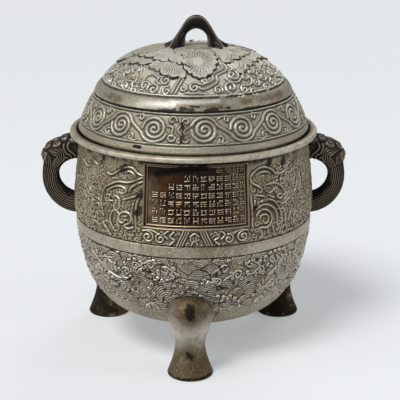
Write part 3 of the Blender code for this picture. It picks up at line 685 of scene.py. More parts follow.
for k, start in enumerate(smudges):
    belly.streaks("dark" if k % 2 else "brown", [start], (9, 6 * (k % 3) - 3), 10, 0.42)
# A painted reflection of the pale floor on each side of the belly.
for side in (-1, 1):
    belly.stain_and_light("pale", [(side * 128, 112), (side * 112, 84), (side * 92, 62)], 34, 1.0)
print("sea strokes:", belly.count)

# %% [markdown]
# The belly closes at both poles: its outside runs from the middle of the underside up to the plain
# band, over the band's rounded edges, and its inside back down to the middle of the floor.

# %% Build the belly with its plain band
BAND_FRONT, BAND_STAINS = 0.45, 5
inner_belly = offset(belly_line, -WALL_THICK)
band_out = BELLY_R + BAND_RAISE
floor_z = UNDERSIDE + WALL_THICK
rows_below = path([(0.004, UNDERSIDE), (0.018, UNDERSIDE), (0.036, UNDERSIDE)])
band_low, band_high = (band_out, BAND_Z + 1.25 * CORNER), (band_out, BAND_TOP - 1.25 * CORNER)
band_face = spaced(path([band_low, (band_out + 0.5 * CORNER, (BAND_Z + BAND_TOP) / 2), band_high]), 5)
band_rows = path(
    [(band_out - 0.75 * CORNER, BAND_Z)], band_face,
    [(band_out - 0.75 * CORNER, BAND_TOP), (BELLY_R, BAND_TOP)])
rows_inside = path(
    [(BELLY_R - WALL_THICK, BAND_TOP)], spaced(inner_belly, 12)[::-1], [(0.03, floor_z), (0.004, floor_z)])
belly_all = path(rows_below, along(belly_line, belly_up * MM), band_rows, rows_inside)
on_sea = slice(len(rows_below), len(rows_below) + BELLY_ROWS)
on_band = slice(on_sea.stop, on_sea.stop + len(band_rows))
lift = np.zeros((len(belly_all), BELLY_COLUMNS))
lift[on_sea] = belly.height * MM
belly_layers = layers_of(lift.shape, belly, on_sea)
# Pale wear all round the band, with a painted sheen added on its sides.
belly_layers["pale"][on_band] = 0.2 + 0.4 * (abs(belly_angles) > BAND_FRONT)
belly_layers["polish"][on_band] = 0.7
belly_layers["brown"][on_band] = 0.7 * np.clip(1.2 * np.sin(BAND_STAINS * belly_angles + 0.6) - 0.15, 0, 1)
belly_layers["dark"][on_band.start - 1:on_band.start + 1] = 0.9
# Painted shade inside the bowl, from the band's top edge down.
belly_layers["dark"][on_band.stop - 1:] = 0.8
bowl_belly = close_grid("bowl_belly", turn_profile(belly_all, lift, belly_angles), belly_layers, poles=[
    (0, (0, 0, UNDERSIDE)), (-1, (0, 0, floor_z))])

# %% [markdown]
# The lid's skirt has a running scroll: one vine swings up and down round the lid, and a spiral grows
# from it in every bay. Spirals and vine are broad cords with narrow grooves between them. The spirals
# are evenly spaced but for one wider bay, where the wax strip met its own start and was filled by hand.

# %% Draw the running scroll
SKIRT_ROWS, SKIRT_COLUMNS = 74, 760
SKIRT_TOP = LID_BAND_LOW + LID_BAND_W
SCROLL_COUNT, FIRST_DEG, JOIN_DEG = 18, 5.6, 25.6
SCROLL_MIDDLE, HUG, STRETCH, COIL_GAP, CORD = 21.4, 12.0, 1.16, 4.7, 3.8
skirt_angles = columns_round(SKIRT_COLUMNS)
skirt_s = np.linspace(0, SKIRT_TOP, SKIRT_ROWS)
skirt = sheet_round(skirt_angles, LID_R, skirt_s / MM)
pitch = math.radians((360 - JOIN_DEG) / (SCROLL_COUNT - 1)) * LID_R / MM
centres = math.radians(FIRST_DEG) * LID_R / MM + pitch * np.arange(SCROLL_COUNT)
stops = np.append(centres, centres[0] + skirt.period)


def hugging(x, up):
    """The vine's arc over a spiral, or beneath it: half an ellipse, HUG high and STRETCH times as wide."""
    turn = np.radians(np.linspace(158, 22, 9)) * up
    return np.stack([x + STRETCH * HUG * np.cos(turn), SCROLL_MIDDLE + HUG * np.sin(turn)], axis=1)


def bay_filler(sheet, middle, side, hold):
    """A curl and a leaf in the corner that the vine leaves free, above (side 1) or below (-1)."""
    sheet.ridge(curl(middle + 4.6 * hold, SCROLL_MIDDLE + 9.6 * side, 3.6, 90, hold), 2.3, 1.0)
    leaf = [(middle + u * hold, SCROLL_MIDDLE + v * side) for u, v in ((8, 11.6), (0.5, 12.4), (-4.5, 10.6))]
    sheet.ridge(flow(leaf), 2.2, 0.9, 0.5)


for index, (x, following) in enumerate(zip(stops[:-1], stops[1:])):
    up = -1 if index % 2 else 1
    coil = spiral(0, SCROLL_MIDDLE, HUG - 0.4, (HUG - 1.0) / COIL_GAP, 180, up, 0.8) * (STRETCH * 0.97, 1)
    skirt.ridge(moved(coil, x), CORD, 1.1, 0.1)
    if index < SCROLL_COUNT - 1:
        skirt.ridge(flow(np.concatenate([hugging(x, up), hugging(following, -up)]), 4), 0.85 * CORD, 0.95)
        for side in (-1, 1):
            bay_filler(skirt, (x + following) / 2, side, up * side)
    else:
        skirt.ridge(flow(hugging(x, up), 4), CORD, 1.15)
        skirt.ridge(flow(hugging(following, 1), 4), CORD, 1.15)
join = (stops[-2] + stops[-1]) / 2
for x, y, radius, start, hand in (
        (-7, 8.8, 4.6, 0, 1), (7, 7.6, 4.0, 180, -1), (-7.5, -7.0, 4.6, 0, -1), (7.5, -8.2, 4.0, 160, 1),
        (0.5, -10.6, 2.4, 90, 1)):
    skirt.ridge(curl(join + x, SCROLL_MIDDLE + y, radius, start, hand), 2.6, 1.1)
for line in (
        [(-12, 4), (-6, 2), (-7, -3), (-3, -8)], [(0, 12), (2, 5), (-1, 0), (3, -5)],
        [(11, 3), (5, -1), (9, -6)]):
    skirt.ridge(moved(flow(line), join, SCROLL_MIDDLE), 2.6, 1.0, 0.4)
skirt.ridge(skirt.ring(7.6, 0.25), 1.7, 0.6)
skirt.groove(skirt.ring(6.1, 0.3), 1.2, 0.35)
skirt.ridge(skirt.ring(36.4, 0.15), 1.6, 0.6)
for up, width, deep in ((34.9, 1.4, 0.5), (38.1, 1.9, 1.0)):
    skirt.groove(skirt.ring(up, 0.2), width, deep)
skirt.crisp(0.5)
skirt.height[skirt.up > 39.4] = 0
skirt.stain_and_light("dark", [(-58, 3.3), (-51, 3.2)], 2.6, 1.9)
skirt.groove([(-57, 3.3), (-52, 3.2)], 3.4, 1.3)
skirt.stain_and_light("dark", skirt.ring(38.3), 1.9, 1.25)
skirt.stain_and_light("dark", [(-12, 10), (-10, 20), (-13, 32)], 3.2, 0.85)
for line, reach in (
        ([(-38, 39), (-20, 40)], 3.6), ([(-12, 41), (0, 41)], 4.6), ([(-4, 44), (6, 43)], 3.2),
        ([(12, 40), (26, 40.5)], 3.4), ([(30, 42), (40, 41)], 2.4), ([(-66, 38), (-44, 38)], 2.2),
        ([(56, 39), (84, 39)], 2.2)):
    skirt.stain_and_light("dark", line, reach, 1.0)
for line, reach in (
        ([(-16, 45), (25, 43), (66, 46)], 6.5), ([(-120, 43), (-98, 45), (-90, 42)], 8.0),
        ([(80, 44), (125, 46)], 8.0), ([(-9, 24), (-6, 14)], 9.0)):
    skirt.stain_and_light("brown", line, reach, 0.8)
skirt.stain_and_light("polish", skirt.ring(44.6), 6.5, 0.7)
# A painted highlight along the upper part of the plain band.
for line, reach, strength in (
        ([(-62, 43.5), (-24, 45)], 6.0, 0.7), ([(-26, 48.5), (30, 48.5)], 3.0, 1.1),
        ([(38, 45), (52, 46)], 5.0, 0.5)):
    skirt.stain_and_light("pale", line, reach, strength)
print("scroll strokes:", skirt.count)

# %% [markdown]
# Under the scroll the lid has an undercut foot and a tongue that drops into the bowl's mouth. Above it
# a plain band swells out. The skirt's mesh is one ring through all of these and back up inside.

# %% Build the skirt with its plain band and tongue
share = np.clip((skirt_s - LID_BAND_LOW - 3 * MM) / (LID_BAND_W - 3 * MM), 0, 1)
bulge = np.where((share > 0) & (share < 1), LID_BAND_RAISE * np.sin(np.pi * share) ** 0.5, 0)
tongue, tongue_low = MOUTH_R - TONGUE_CLEARANCE, SEAT_Z - TONGUE_DROP
inside_lid = offset(dome_line, -LID_THICK)
inner_top = offset(along(dome_line, np.linspace(0.9, 1.1, 3) * SKIRT_TOP), -LID_THICK)[1]
inner_skirt = inside_lid[(inside_lid[:, 1] > LID_BASE + 2 * LID_THICK) & (inside_lid[:, 1] < inner_top[1])]
skirt_below = path([(tongue, tongue_low), (tongue, LID_BASE), (LID_R - LID_UNDERCUT, LID_BASE)])
skirt_inside = path(
    [inner_top], spaced(inner_skirt[::-1], 8)[1:],
    [(tongue - LID_THICK, LID_BASE + LID_THICK), (tongue - LID_THICK, tongue_low)])
skirt_all = path(skirt_below, along(dome_line, skirt_s), skirt_inside)
on_scroll = slice(len(skirt_below), len(skirt_below) + SKIRT_ROWS)
lift = np.zeros((len(skirt_all), SKIRT_COLUMNS))
lift[on_scroll] = skirt.height * MM + bulge[:, None]
skirt_layers = layers_of(lift.shape, skirt, on_scroll)
# Painted shade on the undercut foot and tongue, and inside the lid.
skirt_layers["dark"][:on_scroll.start] = 0.9
skirt_layers["dark"][on_scroll.stop:] = 0.6
lid_skirt = close_grid("lid_skirt", turn_profile(skirt_all, lift, skirt_angles), skirt_layers, ring_rows=True)

# %% [markdown]
# The dome is best drawn as it looks from above: the crown is the sheet's middle, right is right and
# the front is down. Pads of pine needles spread from the roots of the grip, one round lobed leaf lies
# at the front, and clouds curl round them. The same boughs come back three times, turned about the crown.

# %% Draw the dome
DOME_ROWS, DOME_COLUMNS = 112, 560
dome_angles = columns_round(DOME_COLUMNS)
dome_s = np.linspace(SKIRT_TOP - 3 * CORNER, DOME_LEN, DOME_ROWS)
rho = (DOME_LEN + CROWN_R - dome_s) / MM
dome = Sheet(rho[:, None] * np.sin(dome_angles), -rho[:, None] * np.cos(dome_angles))


def scalloped(points, bulge=0.28):
    """Small lobes between the points of a rim: each span is an arc that swells outwards by its bulge."""
    points = np.asarray(points, float)
    start, step = points[:-1, None], np.diff(points, axis=0)[:, None]
    out = np.stack([step[..., 1], -step[..., 0]], axis=-1)
    share = np.linspace(0, 1, 7)[None, :-1, None]
    lobes = start + step * share + out * bulge * np.sin(np.pi * share) ** 0.7
    return np.concatenate([lobes.reshape(-1, 2), points[-1:]])


def bough(sheet, hub, rim, back, height, needles=15, cut=0.3):
    """A pad of pine needles: a raised patch with a lobed rim, and fine cuts that fan out from its hub."""
    hub, lobes = np.array(hub, float), scalloped(rim)
    sheet.plate(np.concatenate([lobes, np.asarray(back, float)]), height, 1.0, 0.15)
    for end in spaced(lobes, needles):
        way = end - hub
        bend = np.array([-way[1], way[0]]) * 0.07
        sheet.groove(flow([hub + 0.32 * way, hub + 0.55 * way + bend, hub + 0.86 * way], 4), 1.3, cut, 0.35)
    out = lobes - lobes.mean(0)
    outside = lobes + out / np.linalg.norm(out, axis=1)[:, None]
    sheet.groove(outside, 1.7, 0.5)
    # A painted shadow round the outside of the rim.
    sheet.stain_and_light("dark", outside, 1.5, 1.05)
    sheet.ridge(lobes, 1.6, 0.45, 0.2, height - 0.1)


def turned_about(points, degrees):
    """The drawing turned about the crown."""
    a = math.radians(degrees)
    return np.asarray(points, float) @ np.array([[math.cos(a), math.sin(a)], [-math.sin(a), math.cos(a)]])


def circle(radius):
    """A circle round the crown."""
    return arc((0, 0), radius, 0, 360, 181)


BOUGHS = [
    ((-44, -22), [(-74, -10), (-69, -20), (-62, -27), (-54, -35), (-42, -45)], [(-30, -30), (-34, -8)], 0.9),
    ((-34, -20), [(-58, -2), (-52, -14), (-46, -26), (-39, -33), (-33, -43), (-24, -48)],
     [(-18, -30), (-22, -8)], 1.1),
    ((-22, -48), [(-42, -49), (-37, -56), (-31, -61), (-24, -71), (-15, -74.5), (-8, -76)],
     [(-6, -58), (-14, -36), (-26, -34)], 1.2),
    ((-8, -38), [(-22, -42), (-15, -54), (-8, -58), (-2, -62)], [(8, -50), (10, -28), (-12, -28)], 1.2),
]
LEAF = (
    (3, -54),
    [(-8, -50), (-7.5, -59), (-4.8, -68), (-0.8, -72), (3, -75.5), (9, -76.5), (13.5, -73), (18, -66),
     (19.4, -58), (20.5, -49), (19, -40), (16.5, -32), (9, -26), (1, -27), (-7, -33), (-9.5, -41)],
    [(-9.5, -42), (-8.5, -48)], 1.5)
BOUGH_TURNS = ((118, 1.0), (196, 0.95), (262, 1.0))
for degrees, weight in BOUGH_TURNS:
    for hub, *outlines, height in [*BOUGHS, LEAF]:
        rim, back = (turned_about(outline, degrees) for outline in outlines)
        bough(dome, turned_about(hub, degrees), rim, back, height * weight)
for pad in BOUGHS:
    bough(dome, *pad)
bough(dome, *LEAF, needles=30, cut=0.6)

# %% [markdown]
# A cloud on such a lid is a coil with a trailing line. The front's clouds are placed one by one, and the
# back repeats them, turned half round. Small curls of the seeded kind fill what is still bare.

# %% Clouds between the boughs
CLOUD_LINES = [
    [(25, -50), (31, -55), (31.5, -62), (25, -69), (22.5, -73), (23.5, -79), (18, -85.5), (10, -90),
     (3, -87)],
    [(21.5, -50), (27, -55), (27.5, -61), (21, -67.5), (18.5, -73), (19, -78), (14.5, -82), (9, -85),
     (5, -84)],
    [(-9, -77), (-13, -84), (-18, -93)], [(-13, -77.5), (-17, -84), (-22, -92.5)],
    [(36, -50), (42, -53), (47, -49), (46, -42)], [(33, -52), (41, -57), (50, -52), (50, -44)],
    [(53, -73), (58, -68), (58, -61), (53, -58)], [(-8, -94), (-2, -95), (6, -94.5), (14, -95)],
    [(24, -94.5), (30, -95), (36, -91)], [(-50, -68), (-44, -64), (-38, -66), (-34, -72)],
    [(-62, -48), (-56, -52), (-50, -50)], [(62, -44), (66, -38), (64, -30), (58, -28)],
    [(44, -30), (52, -28), (58, -20), (56, -10)], [(-62, -66), (-56, -62), (-57, -56)],
    [(30, -72), (36, -75.5), (44, -73), (47, -66)], [(-30, -70), (-36, -75), (-33, -80)],
    [(-72, -54), (-64, -60), (-56, -68), (-50, -70)], [(-76, -50), (-68, -56), (-60, -64)],
    [(-88, -40), (-80, -48), (-72, -56)],
]
CLOUD_HEADS = [
    (1, -88.5, 5.4, 60, 1), (25, -88.5, 4.6, 0, 1), (38, -66, 7.6, 100, -1), (38, -81.5, 7.4, 280, -1),
    (51, -63, 4.2, 20, 1), (63, -62, 5.4, 120, -1), (70, -48, 5.2, 200, 1), (52, -78, 4.6, 90, 1),
    (-27, -77, 6.4, 40, 1), (-40.5, -83, 6.8, 160, -1), (-27, -89, 4.8, 60, 1), (-49, -75, 5.4, 300, 1),
    (-10, -89, 4.0, 90, -1), (11, -80, 3.4, 100, 1), (62, -75, 4.4, 0, -1), (76, -60, 4.4, 100, 1),
    (83, -45, 4.6, 200, -1), (78, -33, 4.2, 30, 1), (57, -50, 4.2, 250, -1), (49, -88, 3.8, 60, -1),
    (-61, -74, 4.4, 20, 1), (-71, -62, 4.6, 140, -1), (-57, -58, 4.0, 60, 1), (-82, -48, 4.4, 0, 1),
    (-66, -44, 4.0, 200, -1), (-88, -34, 4.2, 90, 1), (-84, -18, 4.2, 150, -1), (-91, -4, 4.0, 0, 1),
    (70, -20, 4.6, 60, 1), (87, -20, 4.4, 160, -1), (91, -6, 4.2, 0, 1), (64, -4, 4.4, 200, -1),
]
HEAD_CLEAR, RING_R, GROOVE_R, EDGE_R = 1.6, 97.6, 99.4, 99.6
BOUGH_SHAPES = [turned_about(np.concatenate([rim, back]), degrees) * 1.04
                for degrees in (0, *(turn for turn, _ in BOUGH_TURNS)) for _, rim, back, _ in [*BOUGHS, LEAF]]
for degrees, weight in ((0, 1.0), (180, 0.8)):
    for line in CLOUD_LINES:
        dome.ridge(turned_about(flow(line, 5), degrees), 2.2, 1.15 * weight)
    for x, y, radius, start, hand in CLOUD_HEADS:
        dome.ridge(turned_about(spiral(x, y, radius, 1.3, start, hand, 1.0), degrees), 2.3, 1.15 * weight)


def dome_ground(x, y):
    """True where the ground between boughs and clouds is bare, away from the calm field at the front."""
    near_head = any(math.hypot(x - flip * head_x, y - flip * head_y) < radius + HEAD_CLEAR
                    for head_x, head_y, radius, _, _ in CLOUD_HEADS for flip in (1, -1))
    under_bough = any(inside_outline(np.array([[x, y]]), shape)[0] for shape in BOUGH_SHAPES)
    calm = y < -50 and abs(x - 2) < 50
    return 36 < math.hypot(x, y) < 97 and not near_head and not under_bough and not calm


cloud_fill(dome, 31, (-98, 98), (-98, 98), 6.4, 2.4, 0.85, 1.8, keep=dome_ground)
dome.ridge(circle(RING_R), 1.6, 0.7)
dome.groove(circle(GROOVE_R), 1.5, 0.6)
dome.crisp(0.6)
dome.stain_and_light("dark", circle(EDGE_R), 1.3, 0.8)
# Brown stains and a dark pit; the pale stroke is a painted sheen across the dome's front.
for kind, line, reach, strength in (
        ("brown", [(-8, -16), (14, -16), (14, 8), (-6, 10)], 6, 0.8),
        ("brown", [(50, -30), (66, -40), (60, -56)], 14, 0.5), ("dark", [(36, -15), (39, -15)], 2.6, 1.6),
        ("brown", [(-78, -44), (-60, -60), (-46, -70)], 12, 0.55),
        ("polish", [(-20, -60), (0, -60), (14, -62)], 16, 0.8),
        ("pale", [(-34, -40), (-6, -54), (24, -66)], 34, 0.8)):
    dome.stain_and_light(kind, line, reach, strength)
print("dome strokes:", dome.count)

# %% [markdown]
# The dome's mesh runs from the middle of its hollow inside down to the plain band's upper edge, over
# the carved outside and up to the flat crown under the grip.

# %% Build the dome
crown = CROWN_Z + CROWN_RISE
inside_top = CROWN_Z - LID_THICK
top_rows = path([
    (0.75 * CROWN_R, CROWN_Z + 0.3 * CROWN_RISE), (0.4 * CROWN_R, CROWN_Z + 0.7 * CROWN_RISE),
    (0.1 * CROWN_R, crown)])
under = inside_lid[inside_lid[:, 1] > inner_top[1]]
under_rows = path([(0.1 * CROWN_R, inside_top), (0.5 * CROWN_R, inside_top)], spaced(under[::-1], 10))
dome_all = path(under_rows, along(dome_line, dome_s), top_rows)
on_dome = slice(len(under_rows), len(under_rows) + DOME_ROWS)
lift = np.zeros((len(dome_all), DOME_COLUMNS))
lift[on_dome] = dome.height * MM
dome_layers = layers_of(lift.shape, dome, on_dome)
dome_layers["brown"][on_dome.stop:] = 0.5
# Painted shade on the dome's underside.
dome_layers["dark"][:on_dome.start] = 0.6
lid_dome = close_grid("lid_dome", turn_profile(dome_all, lift, dome_angles), dome_layers, poles=[
    (0, (0, 0, inside_top)), (-1, (0, 0, crown))])

# %% [markdown]
# The legs, the handles and the grip are bars: rings of points set along a centre line. One helper
# builds them all. It takes the centre of each ring, two directions across it and its reach each way.

# %% Rings along a centre line
def angles_round(count):
    """Evenly spaced angles round a section, starting at its right."""
    return math.tau * np.arange(count) / count


def bar(name, centres, across, deep, reach_across, reach_deep, layers):
    """Each point is centre + across * reach_across + deep * reach_deep, and both ends are closed."""
    sideways = across[:, None] * reach_across[..., None]
    grid = centres[:, None] + sideways + deep[:, None] * reach_deep[..., None]
    return close_grid(name, grid, layers, poles=[(0, centres[0]), (-1, centres[-1])])

# %% [markdown]
# Each leg is an animal's leg made simple: a flared foot, a narrow ankle and a round knee that grows out
# of the belly. The front knee has a dark hollow where the casting was pitted, and its shaft is paler,
# with painted highlights on its sides and painted shade under the belly. The rear legs stand in the
# bowl's shade: they are brown, with painted shade that is darkest on the shaded side.

# %% Legs
FOOT_R, SOLE_EDGE, ANKLE_R, ANKLE_Z = 0.0230, 0.0020, 0.0146, 0.0290
KNEE_R, KNEE_Z, LEG_TOP, LEG_CIRCLE, KNEE_CIRCLE = 0.0222, 0.0640, 0.0820, 0.1056, 0.1035
LEG_ROWS, LEG_COLUMNS = 64, 72
PIT_Z, LOW_PIT_Z, SHAFT_Z, SHAFT_HALF = 0.0700, 0.0245, 0.0460, 0.0200
DENT, DENT_OUT = 0.12 * MM, 0.05 * MM


def leg_radius(z):
    """Foot to ankle: a flare of power 1.5. Ankle to knee: a sine squared. Above: an elliptic cap."""
    flare = ANKLE_R + (FOOT_R - ANKLE_R) * (1 - np.clip(z / ANKLE_Z, 0, 1)) ** 1.5
    knee = np.clip((z - ANKLE_Z) / (KNEE_Z - ANKLE_Z), 0, 1)
    swollen = ANKLE_R + (KNEE_R - ANKLE_R) * np.sin(knee * np.pi / 2) ** 2
    cap = KNEE_R * np.sqrt(np.clip(1 - ((z - KNEE_Z) / (LEG_TOP - KNEE_Z)) ** 2, 0, 1))
    return np.where(z < ANKLE_Z, flare, np.where(z < KNEE_Z, swollen, cap))


def front_leg_stains_and_highlights(layers, around, sideways, up):
    """Pits at knee and ankle, a darker sole, painted shade at the top, a pale shaft with painted highlights.
    """
    behind = 0.05 * (np.sin(around) < 0)
    knee_pit = np.hypot(sideways + 0.0008, (up - PIT_Z) / 1.15) + behind
    low_pit = np.hypot(sideways - 0.0005, (up - LOW_PIT_Z) / 1.6) + behind
    # A paler shaft, with painted highlights on its left and right sides.
    pale_shaft_and_highlight = np.clip(1 - abs(up - SHAFT_Z) / SHAFT_HALF, 0, 1) * (0.5 + 0.5 * abs(np.cos(around)))
    brown_pits = np.maximum(1.9 - knee_pit / 0.0105, 1.15 - low_pit / 0.013)
    dark_pits = np.maximum(1.25 - knee_pit / 0.0085, 0.80 - low_pit / 0.0095)
    layers["brown"] = np.clip(np.maximum(brown_pits, 1.3 - up / 0.028), 0, 1)
    # Darker along the sole; painted shade where the leg meets the belly.
    sole, shade_under_belly = up < 0.0035, np.clip((up - 0.0800) / 0.002, 0, 1)
    layers["dark"] = np.clip(dark_pits, 0, 1) + 0.7 * sole + 0.35 * shade_under_belly
    layers["pale"] = 0.95 * pale_shaft_and_highlight * np.clip((knee_pit - 0.008) / 0.006, 0, 1)
    layers["polish"] = 0.9 * np.clip(2 * pale_shaft_and_highlight, 0, 1)


def rear_leg_brown_and_shade(layers, around, lit_side):
    """Brown all over, with painted shade that is darkest on the side the belly shades."""
    layers["dark"][:] = np.clip(0.52 - 0.4 * lit_side * np.cos(around - 0.6), 0, 1)
    layers["brown"][:] = 0.85


def make_leg(name, degrees, seed, lit_side=0):
    """A leg at an angle from the front, with slight dents so that no two are quite alike."""
    angle = math.radians(degrees)
    out = np.array([math.sin(angle), -math.cos(angle), 0])
    side = np.array([math.cos(angle), math.sin(angle), 0])
    z = np.concatenate([[0, 0], np.linspace(SOLE_EDGE, LEG_TOP - 1.5 * CORNER, LEG_ROWS - 2)])
    radius = leg_radius(z)
    radius[:2] = FOOT_R - SOLE_EDGE, FOOT_R - 0.55 * SOLE_EDGE
    z[1] = 0.35 * SOLE_EDGE
    centres = out * (LEG_CIRCLE + (KNEE_CIRCLE - LEG_CIRCLE) * np.minimum(1, z / KNEE_Z))[:, None]
    centres[:, 2] = z
    around = angles_round(LEG_COLUMNS)
    draw = np.random.default_rng(seed)
    dents = 0
    for waves in (1, 2, 3):
        deep, phase, twist = draw.uniform(-DENT, DENT), draw.uniform(0, 6), draw.uniform(60, 160)
        dents = dents + deep * np.sin(waves * around[None, :] + phase + z[:, None] * twist)
    dents[:3] = 0
    reach = radius[:, None] + np.minimum(dents, DENT_OUT)
    layers = layers_of(reach.shape)
    if lit_side:
        rear_leg_brown_and_shade(layers, around, lit_side)
    else:
        front_leg_stains_and_highlights(layers, around, -reach * np.cos(around), z[:, None])
    return bar(name, centres, np.tile(side, (LEG_ROWS, 1)), np.tile(out, (LEG_ROWS, 1)),
               reach * np.cos(around), reach * np.sin(around), layers)


legs = [make_leg("leg_front", -1.7, 1), make_leg("leg_right", 120, 2, 1), make_leg("leg_left", 240, 3, -1)]

# %% [markdown]
# A handle is a beast's neck bent into a C. Its lower part is fluted lengthwise. The head above carries
# knobs of a rolled mane over its outer side, and on both faces cords that hook over towards them. The
# flutes are cosine waves round the section. Knobs and cords are drawn on a sheet wrapped round it.

# %% Handles
HANDLE_TOP, HANDLE_SPAN, HANDLE_REACH = 0.1990, 0.0580, 0.0290
HEAD_THICK, BAR_THICK, TAIL_THICK, BAR_BROAD = 0.0215, 0.0165, 0.0190, 0.0270
HANDLE_ROWS, HANDLE_COLUMNS, FLUTES, FLUTE_DEEP = 160, 176, 27, 1.2
HEAD_FROM_DEG, HEAD_FADE_DEG, BROW_AT_DEG, BROW_SPREAD_DEG, BROW_RISE = 22, 8, 42, 17, 0.0036
SKIN_R, SKIN_LENGTH = 13.5, 30
KNOB_TOP, CORD_TOP = 4.4, 1.9
HOOKS = [
    [(-10, 3), (-5, 4), (0, 8), (5, 9), (10, 6)], [(-10, 9), (-5, 9), (-1, 12.5), (5, 12.5), (9, 11)],
    [(-10, 15), (-7, 14), (-5, 17), (-8, 22)],
]


def draw_knobs(sheet, top):
    """Rows of two and three round knobs in turn, each with a spiral cut into it."""
    for level, down in enumerate(np.arange(3, 32, 6.8)):
        for shift in (-5.0, 5.0) if level % 2 else (-9.4, 0, 9.4):
            sheet.plate(spiral(top + shift, down, 4.0, 0.95, 0, 1, 4.0), 3.9, 2.8)
            sheet.groove(spiral(top + shift, down, 2.9, 1.1, 90, 1 if shift > 0 else -1, 0.5), 1.3, 1.1)


def draw_cords(sheet, face, out):
    """Long cords that rise along one face and bend over towards the outer side, and three short hooks."""
    def cord(points, width, height):
        sheet.ridge(flow([(face + out * u, v) for u, v in points], 5), width, height, 0.1)

    for r in (2.0, 4.4, 6.8, 9.2):
        turns = np.radians((180, 150, 120, 90, 60, 35))
        bend = [(2.2 + r * math.cos(a), 24 - r * math.sin(a)) for a in turns]
        cord([(2.2 - r, 42), (2.2 - r, 31), *bend, (9.5, 24.6 - 0.45 * r), (11.5, 26 - 0.4 * r)], 2.1, 1.9)
    for u in (2.6, 5.0, 7.4):
        cord([(u, 42), (u, 33), (u + 2, 29), (11.5, 26.6)], 1.9, 1.6)
    for points in HOOKS:
        cord(points, 3.0, 2.4)


def make_handle(name, side):
    """A half ellipse of rings. The section is a rounded square, |x|^3 + |y|^3 = 1, with its lines cut in."""
    turn = np.linspace(np.pi / 2, -np.pi / 2, HANDLE_ROWS)
    rise, zero = HANDLE_SPAN / 2, 0 * turn
    centres = np.stack([
        side * (NECK_R + HANDLE_REACH * np.cos(turn)), zero, HANDLE_TOP - rise + rise * np.sin(turn)], axis=1)
    deep = np.stack([side * np.cos(turn) / HANDLE_REACH, zero, np.sin(turn) / rise], axis=1)
    deep /= np.linalg.norm(deep, axis=1)[:, None]
    around = angles_round(HANDLE_COLUMNS)
    c, s = np.cos(around), np.sin(around)
    square = (abs(c) ** 3 + abs(s) ** 3) ** (-1 / 3)
    thick = BAR_THICK + (np.where(turn > 0, HEAD_THICK, TAIL_THICK) - BAR_THICK) * np.sin(turn) ** 2
    degrees = np.degrees(turn)[:, None]
    head = np.clip((degrees - HEAD_FROM_DEG) / HEAD_FADE_DEG, 0, 1)
    brow = BROW_RISE * np.exp(-((degrees - BROW_AT_DEG) / BROW_SPREAD_DEG) ** 2) * np.clip(s, 0, 1)
    wave = 0.5 * np.cos(FLUTES * around + 1.2 * np.sin(3 * turn)[:, None])
    sheet = Sheet(around * SKIN_R, (np.pi / 2 - turn)[:, None] * SKIN_LENGTH, math.tau * SKIN_R)
    outer_side = SKIN_R * np.pi / 2
    draw_knobs(sheet, outer_side)
    draw_cords(sheet, 0.0, 1)
    draw_cords(sheet, 2 * outer_side, -1)
    relief = sheet.height * np.clip(head * 1.5, 0, 1) - (1 - head) * FLUTE_DEEP * (0.5 + wave) ** 1.3
    reach_across = (BAR_BROAD / 2 * square + np.minimum(relief, CORD_TOP) * MM * 0.8) * c
    reach_deep = (thick[:, None] / 2 * square + np.minimum(relief, KNOB_TOP) * MM) * s + brow
    layers = layers_of(relief.shape)
    standing = crest_and_foot(relief)
    between_flutes = (0.5 - wave) ** 4 * (1 - head)
    layers["relief"] = 0.9 * standing
    # Painted highlights along the flutes' edges and the head's crests; painted shade on the inner face that
    # looks at the bowl, and a darker outer face below the head.
    layers["upper"] = between_flutes * np.clip(0.8 - 0.9 * s, 0.1, 1) + 0.45 * head * np.clip(standing, 0, 1)
    layers["dark"] = np.clip(-1.3 * s - 0.35, 0, 1) + 0.55 * np.clip(s, 0, 1) * (1 - head)
    across = np.tile([0, 1.0, 0], (HANDLE_ROWS, 1))
    return bar(name, centres, across, deep, side * reach_across, reach_deep, layers)


handles = [make_handle("handle_right", 1), make_handle("handle_left", -1)]

# %% [markdown]
# The grip is a branch bent into an arch, held to the crown by roots. The arch is a bar whose inner
# line is the finger hole and whose outer line is a smooth shoulder. The roots are short tapered bars.

# %% Grip
GRIP_SHIFT, GRIP_Z, GRIP_SPREAD, GRIP_SHOULDER = 0.0028, 0.0305, 0.0300, 0.0142
HOLE_W, HOLE_H, GRIP_DEPTH, GRIP_FOOT = 0.0217, 0.0172, 0.0115, 0.0190
ROOT_LENGTH, ROOT_R, ROOT_DROP, ROOT_Z = 0.0140, 0.0031, 0.40, 0.0055
GRIP_ROWS, GRIP_COLUMNS, ROOT_ROWS, ROOT_COLUMNS = 150, 96, 26, 24
BARK = 0.42


